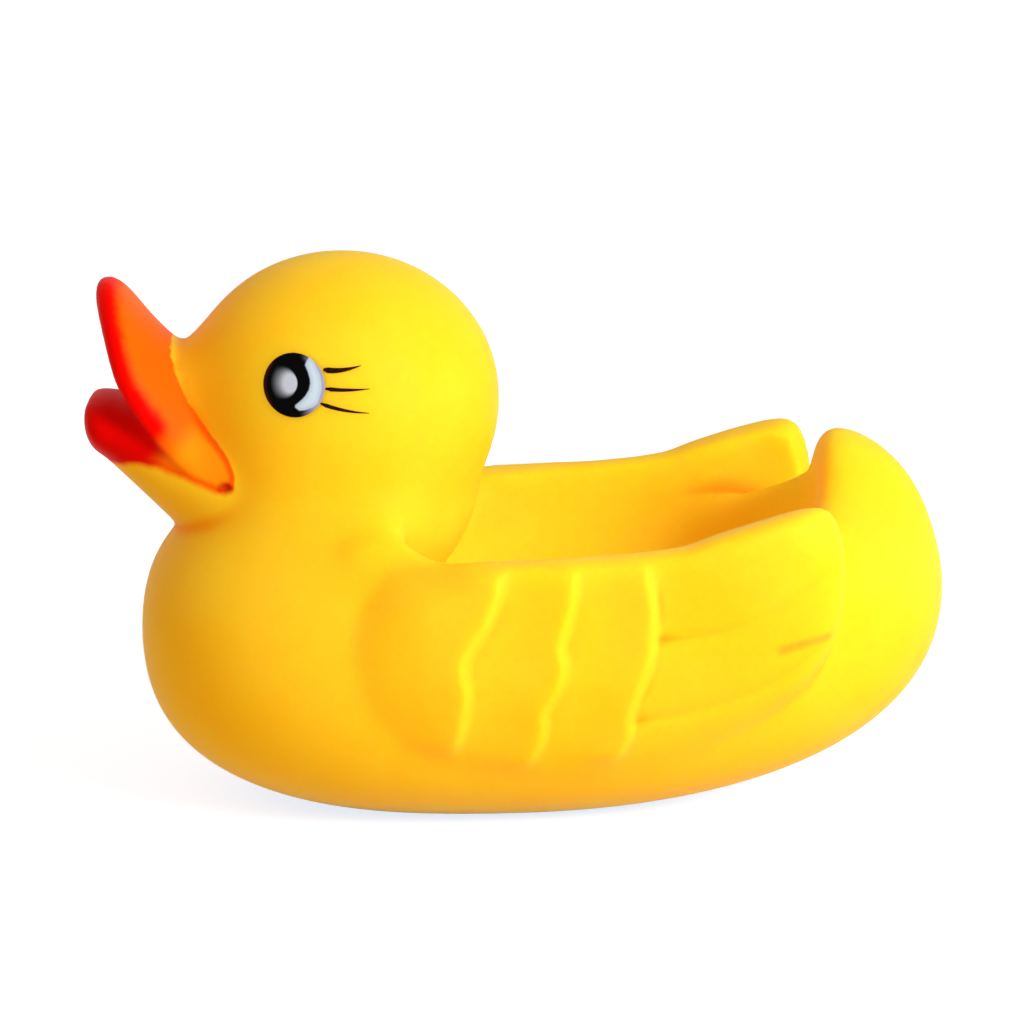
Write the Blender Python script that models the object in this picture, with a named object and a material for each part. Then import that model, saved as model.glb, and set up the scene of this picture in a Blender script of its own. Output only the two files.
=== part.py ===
"""A soft vinyl bath duck with an open, hollow back.

The duck is one rotational moulding: a thin shell round an air chamber, with a flat patch
underneath to stand on. A small whistle snaps into a hole in that patch.
Metres, +Z up. The bill points to -X and the tail to +X. The origin is on the ground,
below the middle of the duck.
"""

import math

import bmesh
import bpy
import numpy as np
from mathutils import Vector

# Body: an egg that is blunt at the breast and drawn out at the tail
BODY_X = -0.005            # where the body is widest
BREAST_REACH = 0.0516      # from there to the breast
RUMP_REACH = 0.0713        # from there to the rump
BODY_HALF_WIDTH = 0.0382
BREAST_HEIGHT = 0.0275     # height of the breast's foremost point
RUMP_HEIGHT = 0.0335       # height of the rump's rearmost point
DOME_HEIGHT = 0.0248       # from that line up to the back, before it is hollowed
KEEL_DROP = 0.0015         # the round keel would reach this far below the flat patch
BREAST_BLUNTNESS = 2.6
RUMP_BLUNTNESS = 2.30
BELLY_BLUNTNESS = 2.35     # of the cross-section's lower half
BACK_BLUNTNESS = 1.95      # of its upper half

# Head, neck and tail
HEAD_X = -0.0257
HEAD_Z = 0.0613
HEAD_LENGTH = 0.0492
HEAD_WIDTH = 0.0474
HEAD_HEIGHT = 0.0458
NECK_X = -0.0268
NECK_Z = 0.0440
NECK_LENGTH = 0.0438
NECK_WIDTH = 0.0446
NECK_HEIGHT = 0.0560
BROW_X = -0.0440           # an egg inside the forehead that leads it into the bill
BROW_Z = 0.0625
BROW_LENGTH = 0.0240
BROW_WIDTH = 0.0270
BROW_HEIGHT = 0.0170
TAIL_X = 0.0453
TAIL_Z = 0.0360
TAIL_LENGTH = 0.0404
TAIL_WIDTH = 0.0330
TAIL_HEIGHT = 0.0450
SHOULDER = (-0.0203, 0.0266, 0.0412)   # a low lump between neck and wing, on each side
SHOULDER_SIZE = (0.0150, 0.0090, 0.0100)

# Lower bill and chin: one cone from the throat to a wide, round lip
THROAT_X = -0.0360
THROAT_Z = 0.0504
THROAT_DEPTH = 0.0370
THROAT_WIDTH = 0.0370
LOWER_LIP_X = -0.0603
LOWER_LIP_Z = 0.0575
LOWER_LIP_DEPTH = 0.0092
LOWER_LIP_WIDTH = 0.0240
LOWER_LIP_TAPER = 1.4      # how fast its rounded end narrows
LOWER_LIP_LIFT = 0.0030    # how far that end turns up

# Upper bill: an arched plate that sweeps up from the cheeks to a thin tip
BILL_ROOT = (-0.0400, 0.0615)
BILL_BEND = (-0.0529, 0.0639)
BILL_TIP = (-0.0619, 0.0797)
BILL_SKIN_ROOT = 0.0048    # from its middle line out to the ridge, at the root
BILL_SKIN_TIP = 0.0027
BILL_PALATE_ROOT = 0.0120  # from its middle line in to the palate, at the root
BILL_PALATE_TIP = 0.0024
BILL_WIDTH = 0.0322
BILL_TIP_NARROWING = 0.0100
BILL_DROOP = 0.0123        # how far the lips hang below the ridge, at the root
LIP_ROOT = 0.0008          # thickness of the lips at the corners of the mouth
LIP_GROWTH = 0.0050        # and how much they thicken towards the front

# Wings: a plate on each side, cut to this outline of (x, z), whose top edge is the rim
WING_OUTLINE = (
    (-0.0226, 0.0312), (-0.0210, 0.0378), (-0.0168, 0.0417), (-0.0112, 0.0431),
    (-0.0060, 0.0435), (0.0030, 0.0440), (0.0126, 0.0445), (0.0240, 0.0458),
    (0.0296, 0.0477), (0.0381, 0.0504), (0.0438, 0.0517), (0.0464, 0.0505),
    (0.0479, 0.0463), (0.0484, 0.0412), (0.0477, 0.0335), (0.0447, 0.0262),
    (0.0403, 0.0212), (0.0330, 0.0158), (0.0244, 0.0122), (0.0142, 0.0100),
    (0.0070, 0.0094), (0.0010, 0.0096), (-0.0062, 0.0109), (-0.0127, 0.0134),
    (-0.0176, 0.0178), (-0.0214, 0.0242),
)
WING_MIDDLE = (0.0130, 0.0320)
WING_PROUD = 0.0018        # how far the wing stands out from the body
WING_FLARE = 0.0080        # how far its rear tip stands off further
WING_THICKNESS = 0.0085
WING_EDGE_ROUNDING = 0.0034
WING_CRISP_ZONE = 0.11     # share of the wing over which a crisp edge is rounded
WING_SOFT_ZONE = 0.32      # and a soft one, where the wing melts into the breast
WING_SUNK = 0.0005         # how far a soft edge dips below the body's surface
WING_BEVEL = 0.94          # size of the inner face, next to the outer one

# Hollow of the back
HOLLOW_X = 0.0145
HOLLOW_LENGTH = 0.0630
HOLLOW_WIDTH = 0.0660
HOLLOW_FLOOR = 0.0240
HOLLOW_TOP = 0.0560
HOLLOW_SQUARENESS = 0.66   # power of its outline: 1 is an ellipse, 0 a rectangle
CREVICE_FORWARD = 0.0040   # the gap beside the neck reaches this much further forward
CREVICE_GUARD = (-0.0268, 0.0, 0.0520)   # and leaves this egg of the neck standing
CREVICE_GUARD_SIZE = (0.0450, 0.0500, 0.0480)
HEAD_GUARD = 0.0010        # and this much round the head

# Feathers in relief on each wing: rows of scallops, then two long grooves.
# Each scallop, and each groove, is a curve through three points (x, z).
FEATHER_HEIGHT = 0.0013
FEATHER_REACH = 0.0100     # how far a feather slopes up to its edge
FEATHER_EDGE = 0.0013      # how quickly it falls away behind the edge
CORNER_PASSES = 8          # more passes round off the corners between scallops
FEATHER_ROWS = (
    (
        ((-0.0016, 0.0449), (-0.0026, 0.0376), (-0.0075, 0.0301)),
        ((-0.0075, 0.0301), (-0.0064, 0.0239), (-0.0081, 0.0163)),
    ),
    (
        ((0.0090, 0.0452), (0.0087, 0.0384), (0.0065, 0.0318)),
        ((0.0065, 0.0318), (0.0075, 0.0276), (0.0041, 0.0221)),
        ((0.0041, 0.0221), (0.0046, 0.0186), (0.0026, 0.0136)),
    ),
    (
        ((0.0186, 0.0458), (0.0205, 0.0336), (0.0170, 0.0224)),
        ((0.0170, 0.0224), (0.0172, 0.0184), (0.0154, 0.0143)),
    ),
)
GROOVE_DEPTH = 0.0005
GROOVE_WIDTH = 0.0016
QUILL_GROOVES = (
    ((0.0209, 0.0331), (0.0335, 0.0355), (0.0455, 0.0429)),
    ((0.0179, 0.0206), (0.0335, 0.0238), (0.0460, 0.0325)),
)

# Moulding
WALL = 0.0022
BLEND_VOXEL = 0.0010
FINE_VOXEL = 0.0008
NECK_PASSES = 110          # more passes give softer creases
RIM_PASSES = 10
CREVICE_PASSES = 24
CREASE_PASSES = 9
RELIEF_PASSES = 2
CHAMBER_VOXEL = 0.0015
FOOT_TOLERANCE = 0.00002   # points closer to the ground than this belong to the flat patch
SKIN_TRIANGLES = 7600
CHAMBER_TRIANGLES = 2200

# Whistle, seated in a boss in the flat patch
WHISTLE_X = -0.0060
SEAT_DIAMETER = 0.0110     # hole through the boss
BOSS_HEIGHT = 0.0042
BOSS_RIM = 0.0045
RECESS_DEPTH = 0.0014      # sunk round the hole for the flange
FLANGE_DIAMETER = 0.0160
FLANGE_THICKNESS = 0.0009
SNAP_RING = 0.0009         # how far the ring above the boss stands out beyond the hole
SNAP_RING_HEIGHT = 0.0010
BARREL_TOP = 0.0105
BARREL_WALL = 0.0016
AIR_HOLE = 0.0030
REED_THICKNESS = 0.0004
REED_WIDTH = 0.0040
CAP_THICKNESS = 0.0016     # of the round cap on the reed block
GAP = 0.0003               # between pieces that touch

# Paint
VINYL_YELLOW = (0.93, 0.55, 0.01, 1.0)
BILL_ORANGE = (0.90, 0.13, 0.01, 1.0)
EYE_BLACK = (0.01, 0.01, 0.01, 1.0)
WHISTLE_WHITE = (0.80, 0.80, 0.76, 1.0)
PAINT_REAR = -0.0462       # the orange ends here on the cheek
PAINT_LEAN = 0.30          # and leans forward by this share of the height
PAINT_FLOOR = 0.0512       # and stops at this height on the chin
EYE_X = -0.0316
EYE_Z = 0.0672
EYE_DIAMETER = 0.0094


def swell(share, bluntness):
    """Half-section of a rounded end: 1 in the middle, 0 at share 1, with a round tip."""
    return max(0.0, 1.0 - abs(share) ** bluntness) ** (1.0 / bluntness)


def ramp(value, low, high):
    """0 below low, 1 above high, and a smooth climb between."""
    share = np.clip((value - low) / (high - low), 0.0, 1.0)
    return share * share * (3.0 - 2.0 * share)


def loft(name, rings):
    """A closed skin over rings of points, with the first and last ring closed by a face."""
    mesh = bmesh.new()
    loops = [[mesh.verts.new(point) for point in ring] for ring in rings]
    count = len(loops[0])
    for before, after in zip(loops, loops[1:]):
        for i in range(count):
            j = (i + 1) % count
            mesh.faces.new((before[i], before[j], after[j], after[i]))
    mesh.faces.new(loops[0])
    mesh.faces.new(loops[-1])
    bmesh.ops.recalc_face_normals(mesh, faces=mesh.faces)
    return to_object(name, mesh)


def to_object(name, mesh):
    """Moves a bmesh into a new object of the scene."""
    data = bpy.data.meshes.new(name)
    mesh.to_mesh(data)
    mesh.free()
    made = bpy.data.objects.new(name, data)
    bpy.context.scene.collection.objects.link(made)
    return made


def ellipsoid(name, centre, lengths):
    mesh = bmesh.new()
    bmesh.ops.create_uvsphere(mesh, u_segments=48, v_segments=32, radius=0.5)
    bmesh.ops.scale(mesh, vec=lengths, verts=mesh.verts)
    bmesh.ops.translate(mesh, vec=centre, verts=mesh.verts)
    return to_object(name, mesh)


def cylinder(name, diameter, bottom, top, x=WHISTLE_X, segments=40):
    mesh = bmesh.new()
    radius = diameter / 2
    bmesh.ops.create_cone(
        mesh, cap_ends=True, segments=segments, radius1=radius, radius2=radius, depth=top - bottom
    )
    bmesh.ops.translate(mesh, vec=(x, 0, (bottom + top) / 2), verts=mesh.verts)
    return to_object(name, mesh)


def block(name, low, high):
    mesh = bmesh.new()
    bmesh.ops.create_cube(mesh, size=1.0)
    bmesh.ops.scale(mesh, vec=Vector(high) - Vector(low), verts=mesh.verts)
    bmesh.ops.translate(mesh, vec=(Vector(low) + Vector(high)) / 2, verts=mesh.verts)
    return to_object(name, mesh)


def combine(base, tool, operation):
    """Adds a Boolean modifier, and hides the tool as a helper."""
    boolean = base.modifiers.new(tool.name, "BOOLEAN")
    boolean.operation = operation
    boolean.solver = "EXACT"
    boolean.object = tool
    tool.hide_render = True
    tool.display_type = "WIRE"


def applied(source, name):
    """A plain object with the mesh that the source's modifiers give. The source and its tools go."""
    graph = bpy.context.evaluated_depsgraph_get()
    data = bpy.data.meshes.new_from_object(source.evaluated_get(graph))
    used = {m.object for m in source.modifiers if m.type == "BOOLEAN"}
    for old in used | {source}:
        bpy.data.objects.remove(old)
    made = bpy.data.objects.new(name, data)
    bpy.context.scene.collection.objects.link(made)
    return made


def body_size(x):
    """Share of the full cross-section at x."""
    if x < BODY_X:
        return swell((x - BODY_X) / BREAST_REACH, BREAST_BLUNTNESS)
    return swell((x - BODY_X) / RUMP_REACH, RUMP_BLUNTNESS)


def widest_height(x):
    return BREAST_HEIGHT + (RUMP_HEIGHT - BREAST_HEIGHT) * ramp(
        x, BODY_X - BREAST_REACH / 2, BODY_X + RUMP_REACH / 2
    )


def body_form():
    """The egg of the body, before anything is added or cut."""
    rings = []
    for i in range(49):
        share = max(-0.9995, min(0.9995, -math.cos(math.pi * i / 48)))
        x = BODY_X + share * (BREAST_REACH if share < 0 else RUMP_REACH)
        size, middle = body_size(x), widest_height(x)
        ring = []
        for k in range(64):
            angle = 2 * math.pi * k / 64
            power = 2 / (BACK_BLUNTNESS if math.sin(angle) > 0 else BELLY_BLUNTNESS)
            across = math.copysign(abs(math.cos(angle)) ** power, math.cos(angle))
            up = math.copysign(abs(math.sin(angle)) ** power, math.sin(angle))
            height = DOME_HEIGHT if up > 0 else middle + KEEL_DROP
            ring.append((x, BODY_HALF_WIDTH * size * across, middle + height * size * up))
        rings.append(ring)
    return loft("body_form", rings)


def jaw_form():
    """Chin and lower bill: elliptical rings from the throat to the rounded lower lip."""
    start = Vector((THROAT_X, 0, THROAT_Z))
    end = Vector((LOWER_LIP_X, 0, LOWER_LIP_Z))
    along = (end - start).normalized()
    above = Vector((along.z, 0, -along.x))
    rings = []
    for i in range(11):
        share = i / 10
        depth = THROAT_DEPTH + (LOWER_LIP_DEPTH - THROAT_DEPTH) * share
        width = THROAT_WIDTH + (LOWER_LIP_WIDTH - THROAT_WIDTH) * share
        rings.append(ellipse_ring(start.lerp(end, share), above, width, depth))
    for i in range(1, 8):
        turn = math.pi / 2 * i / 8
        gone = 1 - math.cos(turn)
        centre = end + along * (LOWER_LIP_DEPTH / 2 * math.sin(turn)) + above * (LOWER_LIP_LIFT * gone)
        width = LOWER_LIP_WIDTH - LOWER_LIP_TAPER * LOWER_LIP_DEPTH * gone
        rings.append(ellipse_ring(centre, above, width, LOWER_LIP_DEPTH * math.cos(turn)))
    return loft("jaw_form", rings)


def ellipse_ring(centre, above, width, depth, count=40):
    ring = []
    for k in range(count):
        angle = 2 * math.pi * k / count
        across = Vector((0, width / 2 * math.cos(angle), 0))
        ring.append(centre + across + above * (depth / 2 * math.sin(angle)))
    return ring


def bill_form():
    """Upper bill: rings whose sides hang down as lips, along a curve that sweeps upwards."""
    root, bend, tip = (Vector((x, 0, z)) for x, z in (BILL_ROOT, BILL_BEND, BILL_TIP))
    rings = []
    count = 30
    for i in range(count):
        share = math.sin(math.pi / 2 * i / (count - 0.7))
        centre = root * (1 - share) ** 2 + bend * 2 * share * (1 - share) + tip * share**2
        along = ((bend - root) * (1 - share) + (tip - bend) * share).normalized()
        above = Vector((along.z, 0, -along.x))
        ending = math.sqrt(1 - share**12)
        skin = (BILL_SKIN_TIP + (BILL_SKIN_ROOT - BILL_SKIN_TIP) * (1 - share) ** 2) * ending
        palate = (BILL_PALATE_TIP + (BILL_PALATE_ROOT - BILL_PALATE_TIP) * (1 - share) ** 1.5) * ending
        half = (BILL_WIDTH - BILL_TIP_NARROWING * share**3) / 2 * math.sqrt(1 - share**7)
        droop = BILL_DROOP * (1 - share) ** 1.15
        lip = LIP_ROOT + LIP_GROWTH * share
        ring = []
        for k in range(44):
            angle = 2 * math.pi * k / 44
            y = half * math.copysign(abs(math.cos(angle)) ** 0.7, math.cos(angle))
            up = math.copysign(abs(math.sin(angle)) ** 0.7, math.sin(angle))
            below = palate + (lip - palate) * (y / half) ** 2
            rise = up * (skin if up > 0 else min(palate, below))
            ring.append(centre + Vector((0, y, 0)) + above * (rise - droop * (2 * y / BILL_WIDTH) ** 2))
        rings.append(ring)
    return loft("bill_form", rings)


def wing_outline(steps=6):
    """The wing's outline as a smooth closed curve through its points."""
    given = [np.array(p) for p in WING_OUTLINE]
    count = len(given)
    points = []
    for i in range(count):
        a, b, c, d = (given[(i + k) % count] for k in (-1, 0, 1, 2))
        for k in range(steps):
            t = k / steps
            points.append(
                0.5 * (2 * b + (c - a) * t + (2 * a - 5 * b + 4 * c - d) * t**2
                       + (3 * b - a - 3 * c + d) * t**3)
            )
    return points


def side_width(x, z):
    """Half-width of the wing's outer face: it follows the body below and stands up above."""
    size, middle = body_size(x), widest_height(x)
    below = max(0.0, (middle - z) / (middle + KEEL_DROP)) / max(size, 0.05)
    above = max(0.0, z - middle) / DOME_HEIGHT
    behind = ramp(x, WING_MIDDLE[0], WING_OUTLINE[13][0])
    flare = WING_FLARE * behind * ramp(z, WING_OUTLINE[20][1], WING_OUTLINE[8][1])
    lean = 0.0030 * above**2
    return BODY_HALF_WIDTH * size * swell(min(below, 1.0), BELLY_BLUNTNESS) - lean + WING_PROUD + flare


def body_surface(x, z):
    """Half-width of the bare body at that place."""
    size, middle = body_size(x), widest_height(x)
    if z > middle:
        reach, bluntness = DOME_HEIGHT, BACK_BLUNTNESS
    else:
        reach, bluntness = middle + KEEL_DROP, BELLY_BLUNTNESS
    return BODY_HALF_WIDTH * size * swell(min(abs(z - middle) / (reach * size), 1.0), bluntness)


def edge_softness(x, z):
    """1 where the wing melts into breast and belly, 0 where its edge is crisp."""
    front = ramp(-x, 0.002, 0.016)
    belly = ramp(-z, -0.027, -0.015) * (1 - 0.5 * ramp(x, 0.020, 0.042))
    return max(front, belly)


def wing_form(side):
    """A curved plate, cut to the wing's outline, with its outer edge rounded off."""
    middle = np.array(WING_MIDDLE)
    steps = (1.0, 0.985, 0.97, 0.95, 0.925, 0.89, 0.85, 0.8, 0.74, 0.66, 0.55, 0.4, 0.25, 0.12)
    edge = []
    for point in wing_outline():
        soft = edge_softness(*point)
        sunk = side_width(*point) - body_surface(*point) + WING_SUNK
        edge.append((point, soft, sunk))
    outer, inner = [], []
    for step in steps:
        ring_out, ring_in = [], []
        for point, soft, sunk in edge:
            zone = WING_CRISP_ZONE + (WING_SOFT_ZONE - WING_CRISP_ZONE) * soft
            turn = max(0.0, (step - 1 + zone) / zone)
            crisp = WING_EDGE_ROUNDING * (1 - math.sqrt(1 - turn**2))
            round_off = crisp + (sunk * turn**2 - crisp) * soft
            x, z = middle + (point - middle) * step
            ring_out.append((x, side * (side_width(x, z) - round_off), z))
            x, z = middle + (point - middle) * step * WING_BEVEL
            ring_in.append((x, side * (side_width(x, z) - WING_THICKNESS), z))
        outer.append(ring_out)
        inner.append(ring_in)
    return loft("wing_form", inner[::-1] + outer)


def hollow_form(forward=0.0):
    """What is scooped out of the back: straight-sided at the rim and dished at the floor."""
    rings = []
    depth = HOLLOW_TOP - HOLLOW_FLOOR
    levels = [(HOLLOW_TOP + depth, 1.0)]
    for i in range(16):
        turn = math.pi / 2 * i / 16
        levels.append((HOLLOW_TOP - depth * math.sin(turn) ** 0.75, math.cos(turn) ** 0.62))
    for z, size in levels:
        ring = []
        for k in range(56):
            angle = 2 * math.pi * k / 56
            x = math.copysign(abs(math.cos(angle)) ** HOLLOW_SQUARENESS, math.cos(angle))
            y = math.copysign(abs(math.sin(angle)) ** HOLLOW_SQUARENESS, math.sin(angle))
            x = HOLLOW_X - forward + HOLLOW_LENGTH / 2 * size * x
            ring.append((x, HOLLOW_WIDTH / 2 * size * y, z))
        rings.append(ring)
    return loft("hollow_form", rings)


def soften(skin, voxel, passes, name):
    """Melts the skin into one even mesh, then relaxes its creases and edges."""
    remesh = skin.modifiers.new("Blend", "REMESH")
    remesh.mode = "VOXEL"
    remesh.voxel_size = voxel
    smooth = skin.modifiers.new("Soften", "SMOOTH")
    smooth.factor = 0.5
    smooth.iterations = round(passes)
    return applied(skin, name)


def crevice_form():
    """The hollow's front corners, which run in beside the neck and leave it whole."""
    crevice = hollow_form(CREVICE_FORWARD)
    combine(crevice, ellipsoid("neck_guard", CREVICE_GUARD, CREVICE_GUARD_SIZE), "DIFFERENCE")
    head = [length + HEAD_GUARD for length in (HEAD_LENGTH, HEAD_WIDTH, HEAD_HEIGHT)]
    combine(crevice, ellipsoid("head_guard", (HEAD_X, 0, HEAD_Z), head), "DIFFERENCE")
    return applied(crevice, "crevice_form")


def blended_skin():
    """The outer skin: body and tail scooped out, then head and neck, then wings and bill."""
    skin = body_form()
    tail_size = (TAIL_LENGTH, TAIL_WIDTH, TAIL_HEIGHT)
    combine(skin, ellipsoid("tail_form", (TAIL_X, 0, TAIL_Z), tail_size), "UNION")
    combine(skin, hollow_form(), "DIFFERENCE")
    skin = soften(skin, BLEND_VOXEL, RIM_PASSES, "scooped_body")
    head_size = (HEAD_LENGTH, HEAD_WIDTH, HEAD_HEIGHT)
    neck_size = (NECK_LENGTH, NECK_WIDTH, NECK_HEIGHT)
    combine(skin, ellipsoid("neck_form", (NECK_X, 0, NECK_Z), neck_size), "UNION")
    combine(skin, ellipsoid("head_form", (HEAD_X, 0, HEAD_Z), head_size), "UNION")
    brow_size = (BROW_LENGTH, BROW_WIDTH, BROW_HEIGHT)
    combine(skin, ellipsoid("brow_form", (BROW_X, 0, BROW_Z), brow_size), "UNION")
    skin = soften(skin, BLEND_VOXEL, NECK_PASSES, "necked_body")
    combine(skin, crevice_form(), "DIFFERENCE")
    skin = soften(skin, BLEND_VOXEL, CREVICE_PASSES, "creviced_body")
    for side in (1, -1):
        wing = wing_form(side)
        combine(wing, hollow_form(), "DIFFERENCE")
        combine(skin, applied(wing, "wing_form"), "UNION")
        x, y, z = SHOULDER
        combine(skin, ellipsoid("shoulder_form", (x, side * y, z), SHOULDER_SIZE), "UNION")
    combine(skin, jaw_form(), "UNION")
    combine(skin, bill_form(), "UNION")
    return soften(skin, FINE_VOXEL, CREASE_PASSES, "blended_skin")


def curve_through(start, middle, end, count=16):
    """Points on the smooth curve from start to end that passes through middle half-way."""
    start, middle, end = np.array(start), np.array(middle), np.array(end)
    pull = 2 * middle - (start + end) / 2
    shares = np.linspace(0, 1, count)[:, None]
    return start * (1 - shares) ** 2 + pull * 2 * shares * (1 - shares) + end * shares**2


def eased_line(arcs):
    """All arcs of a row as one line, with the corners between them rounded."""
    line = np.concatenate([curve_through(*arc)[0 if i == 0 else 1:] for i, arc in enumerate(arcs)])
    for _ in range(round(CORNER_PASSES)):
        line[1:-1] = (line[:-2] + 2 * line[1:-1] + line[2:]) / 4
    return line


def offsets_from_line(points, line):
    """Each point's distance to the line, and whether it lies in front of it (towards the bill)."""
    best = np.full(len(points), np.inf)
    ahead = np.zeros(len(points), bool)
    for start, end in zip(line, line[1:]):
        run = end - start
        if run @ run == 0:
            continue
        share = np.clip(((points - start) @ run) / (run @ run), 0, 1)
        gap = points - (start + share[:, None] * run)
        distance = np.hypot(gap[:, 0], gap[:, 1])
        closer = distance < best
        best[closer] = distance[closer]
        ahead[closer] = gap[closer, 0] < 0
    return best, ahead


def feather_relief(sides):
    """How far each point of the wing, given as (x, z), stands out."""
    height = np.zeros(len(sides))
    for row in FEATHER_ROWS:
        line = eased_line(row)
        distance, ahead = offsets_from_line(sides, line)
        slope = np.clip(1 - distance / FEATHER_REACH, 0, 1) ** 2
        fall = np.clip(1 - distance / FEATHER_EDGE, 0, 1) ** 2
        inside = ramp(sides[:, 1], line[-1, 1] - 0.0025, line[-1, 1] + 0.001)
        inside *= 1 - ramp(sides[:, 1], line[0, 1] - 0.0035, line[0, 1] - 0.0005)
        height += FEATHER_HEIGHT * np.where(ahead, slope, fall) * inside
    for groove in QUILL_GROOVES:
        distance, _ = offsets_from_line(sides, curve_through(*groove))
        height -= GROOVE_DEPTH * np.clip(1 - distance / GROOVE_WIDTH, 0, 1) ** 0.8
    return height


def press_feathers(skin):
    """Raises the feathers on the outer faces of both wings."""
    data = skin.data
    count = len(data.vertices)
    points = np.empty(count * 3)
    normals = np.empty(count * 3)
    data.vertices.foreach_get("co", points)
    data.vertices.foreach_get("normal", normals)
    points = points.reshape(-1, 3)
    normals = normals.reshape(-1, 3)
    side = np.sign(points[:, 1])
    facing = ramp(normals[:, 1] * side, 0.15, 0.5)
    outward = ramp(np.abs(points[:, 1]), BODY_HALF_WIDTH * 0.55, BODY_HALF_WIDTH * 0.7)
    relief = feather_relief(points[:, [0, 2]]) * facing * outward
    points[:, 1] += side * relief
    data.vertices.foreach_set("co", points.ravel())
    smooth = skin.modifiers.new("Soften", "SMOOTH")
    smooth.factor = 0.5
    smooth.iterations = round(RELIEF_PASSES)
    return applied(skin, "feathered_skin")


def flatten_base(skin):
    """Cuts the keel off at the ground, which leaves the flat patch."""
    mesh = bmesh.new()
    mesh.from_mesh(skin.data)
    everything = mesh.verts[:] + mesh.edges[:] + mesh.faces[:]
    cut = bmesh.ops.bisect_plane(
        mesh, geom=everything, plane_co=(0, 0, 0), plane_no=(0, 0, -1), clear_outer=True
    )
    edges = [part for part in cut["geom_cut"] if isinstance(part, bmesh.types.BMEdge)]
    bmesh.ops.contextual_create(mesh, geom=edges)
    bmesh.ops.recalc_face_normals(mesh, faces=mesh.faces)
    mesh.to_mesh(skin.data)
    mesh.free()


def thinned(source, name, triangles):
    """A copy with about that many triangles, which keeps detail where the surface bends most."""
    source.data.calc_loop_triangles()
    thin = source.modifiers.new("Thin", "DECIMATE")
    thin.ratio = min(1.0, triangles / len(source.data.loop_triangles))
    return applied(source, name)


def level_foot(duck):
    """Puts the flat patch back on the ground, which thinning leaves a few micrometres off."""
    for vert in duck.data.vertices:
        if abs(vert.co.z) < FOOT_TOLERANCE:
            vert.co.z = 0.0


def chamber_form(skin):
    """The air chamber: the skin's own form, one wall thickness further in."""
    depth_band = WALL * 2
    fog = bpy.data.objects.new("depth_fog", bpy.data.volumes.new("depth_fog"))
    bpy.context.scene.collection.objects.link(fog)
    filling = fog.modifiers.new("Fill", "MESH_TO_VOLUME")
    filling.object = skin
    filling.resolution_mode = "VOXEL_SIZE"
    filling.voxel_size = BLEND_VOXEL
    filling.interior_band_width = depth_band
    chamber = bpy.data.objects.new("chamber", bpy.data.meshes.new("chamber"))
    bpy.context.scene.collection.objects.link(chamber)
    surface = chamber.modifiers.new("Surface", "VOLUME_TO_MESH")
    surface.object = fog
    surface.resolution_mode = "VOXEL_SIZE"
    surface.voxel_size = CHAMBER_VOXEL
    surface.threshold = WALL / depth_band
    made = applied(chamber, "chamber_form")
    bpy.data.objects.remove(fog)
    return made


def largest_piece(source):
    """Drops small closed pockets, such as the one inside a thick lip."""
    mesh = bmesh.new()
    mesh.from_mesh(source.data)
    left = set(mesh.verts)
    groups = []
    while left:
        seed = left.pop()
        group, front = {seed}, [seed]
        while front:
            for edge in front.pop().link_edges:
                for vert in edge.verts:
                    if vert in left:
                        left.remove(vert)
                        group.add(vert)
                        front.append(vert)
        groups.append(group)
    groups.sort(key=len)
    for group in groups[:-1]:
        bmesh.ops.delete(mesh, geom=list(group), context="VERTS")
    mesh.to_mesh(source.data)
    mesh.free()


def duck_shell():
    """The moulding: its outer skin less the air chamber, with the whistle's seat."""
    skin = press_feathers(blended_skin())
    flatten_base(skin)
    chamber = chamber_form(skin)
    largest_piece(chamber)
    chamber = thinned(chamber, "chamber_form", CHAMBER_TRIANGLES)
    boss = cylinder("boss_form", SEAT_DIAMETER + 2 * BOSS_RIM, -WALL, BOSS_HEIGHT)
    combine(chamber, boss, "DIFFERENCE")
    chamber = applied(chamber, "chamber_form")
    duck = thinned(skin, "duck_shell", SKIN_TRIANGLES)
    level_foot(duck)
    combine(duck, chamber, "DIFFERENCE")
    recess_diameter = FLANGE_DIAMETER + 2 * GAP
    combine(duck, cylinder("recess_cutter", recess_diameter, -WALL, RECESS_DEPTH), "DIFFERENCE")
    combine(duck, cylinder("seat_cutter", SEAT_DIAMETER, -WALL, BOSS_HEIGHT + WALL), "DIFFERENCE")
    return applied(duck, "duck_shell")


def material(name, colour, roughness):
    made = bpy.data.materials.new(name)
    made.use_nodes = True
    shader = made.node_tree.nodes["Principled BSDF"]
    shader.inputs["Base Color"].default_value = colour
    shader.inputs["Roughness"].default_value = roughness
    shader.inputs["Metallic"].default_value = 0.0
    return made


def paint(duck):
    """Yellow vinyl all over, with sprayed orange on the bill and black on the eyes."""
    duck.data.materials.clear()
    duck.data.materials.append(material("yellow_vinyl", VINYL_YELLOW, 0.42))
    duck.data.materials.append(material("orange_bill_paint", BILL_ORANGE, 0.38))
    duck.data.materials.append(material("black_eye_paint", EYE_BLACK, 0.25))
    duck.data.shade_smooth()
    for face in duck.data.polygons:
        x, _, z = face.center
        cheek = PAINT_REAR - PAINT_LEAN * (z - PAINT_FLOOR)
        on_bill = x < cheek and z > PAINT_FLOOR
        on_eye = math.hypot(x - EYE_X, z - EYE_Z) < EYE_DIAMETER / 2
        face.material_index = 1 if on_bill else 2 if on_eye else 0


def lathe(profile, segments=40):
    """A turned piece: (radius, height) points, spun round the whistle's axis."""
    rings = []
    for radius, z in profile:
        ring = []
        for k in range(segments):
            angle = 2 * math.pi * k / segments
            ring.append((WHISTLE_X + radius * math.cos(angle), radius * math.sin(angle), z))
        rings.append(ring)
    return rings


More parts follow.
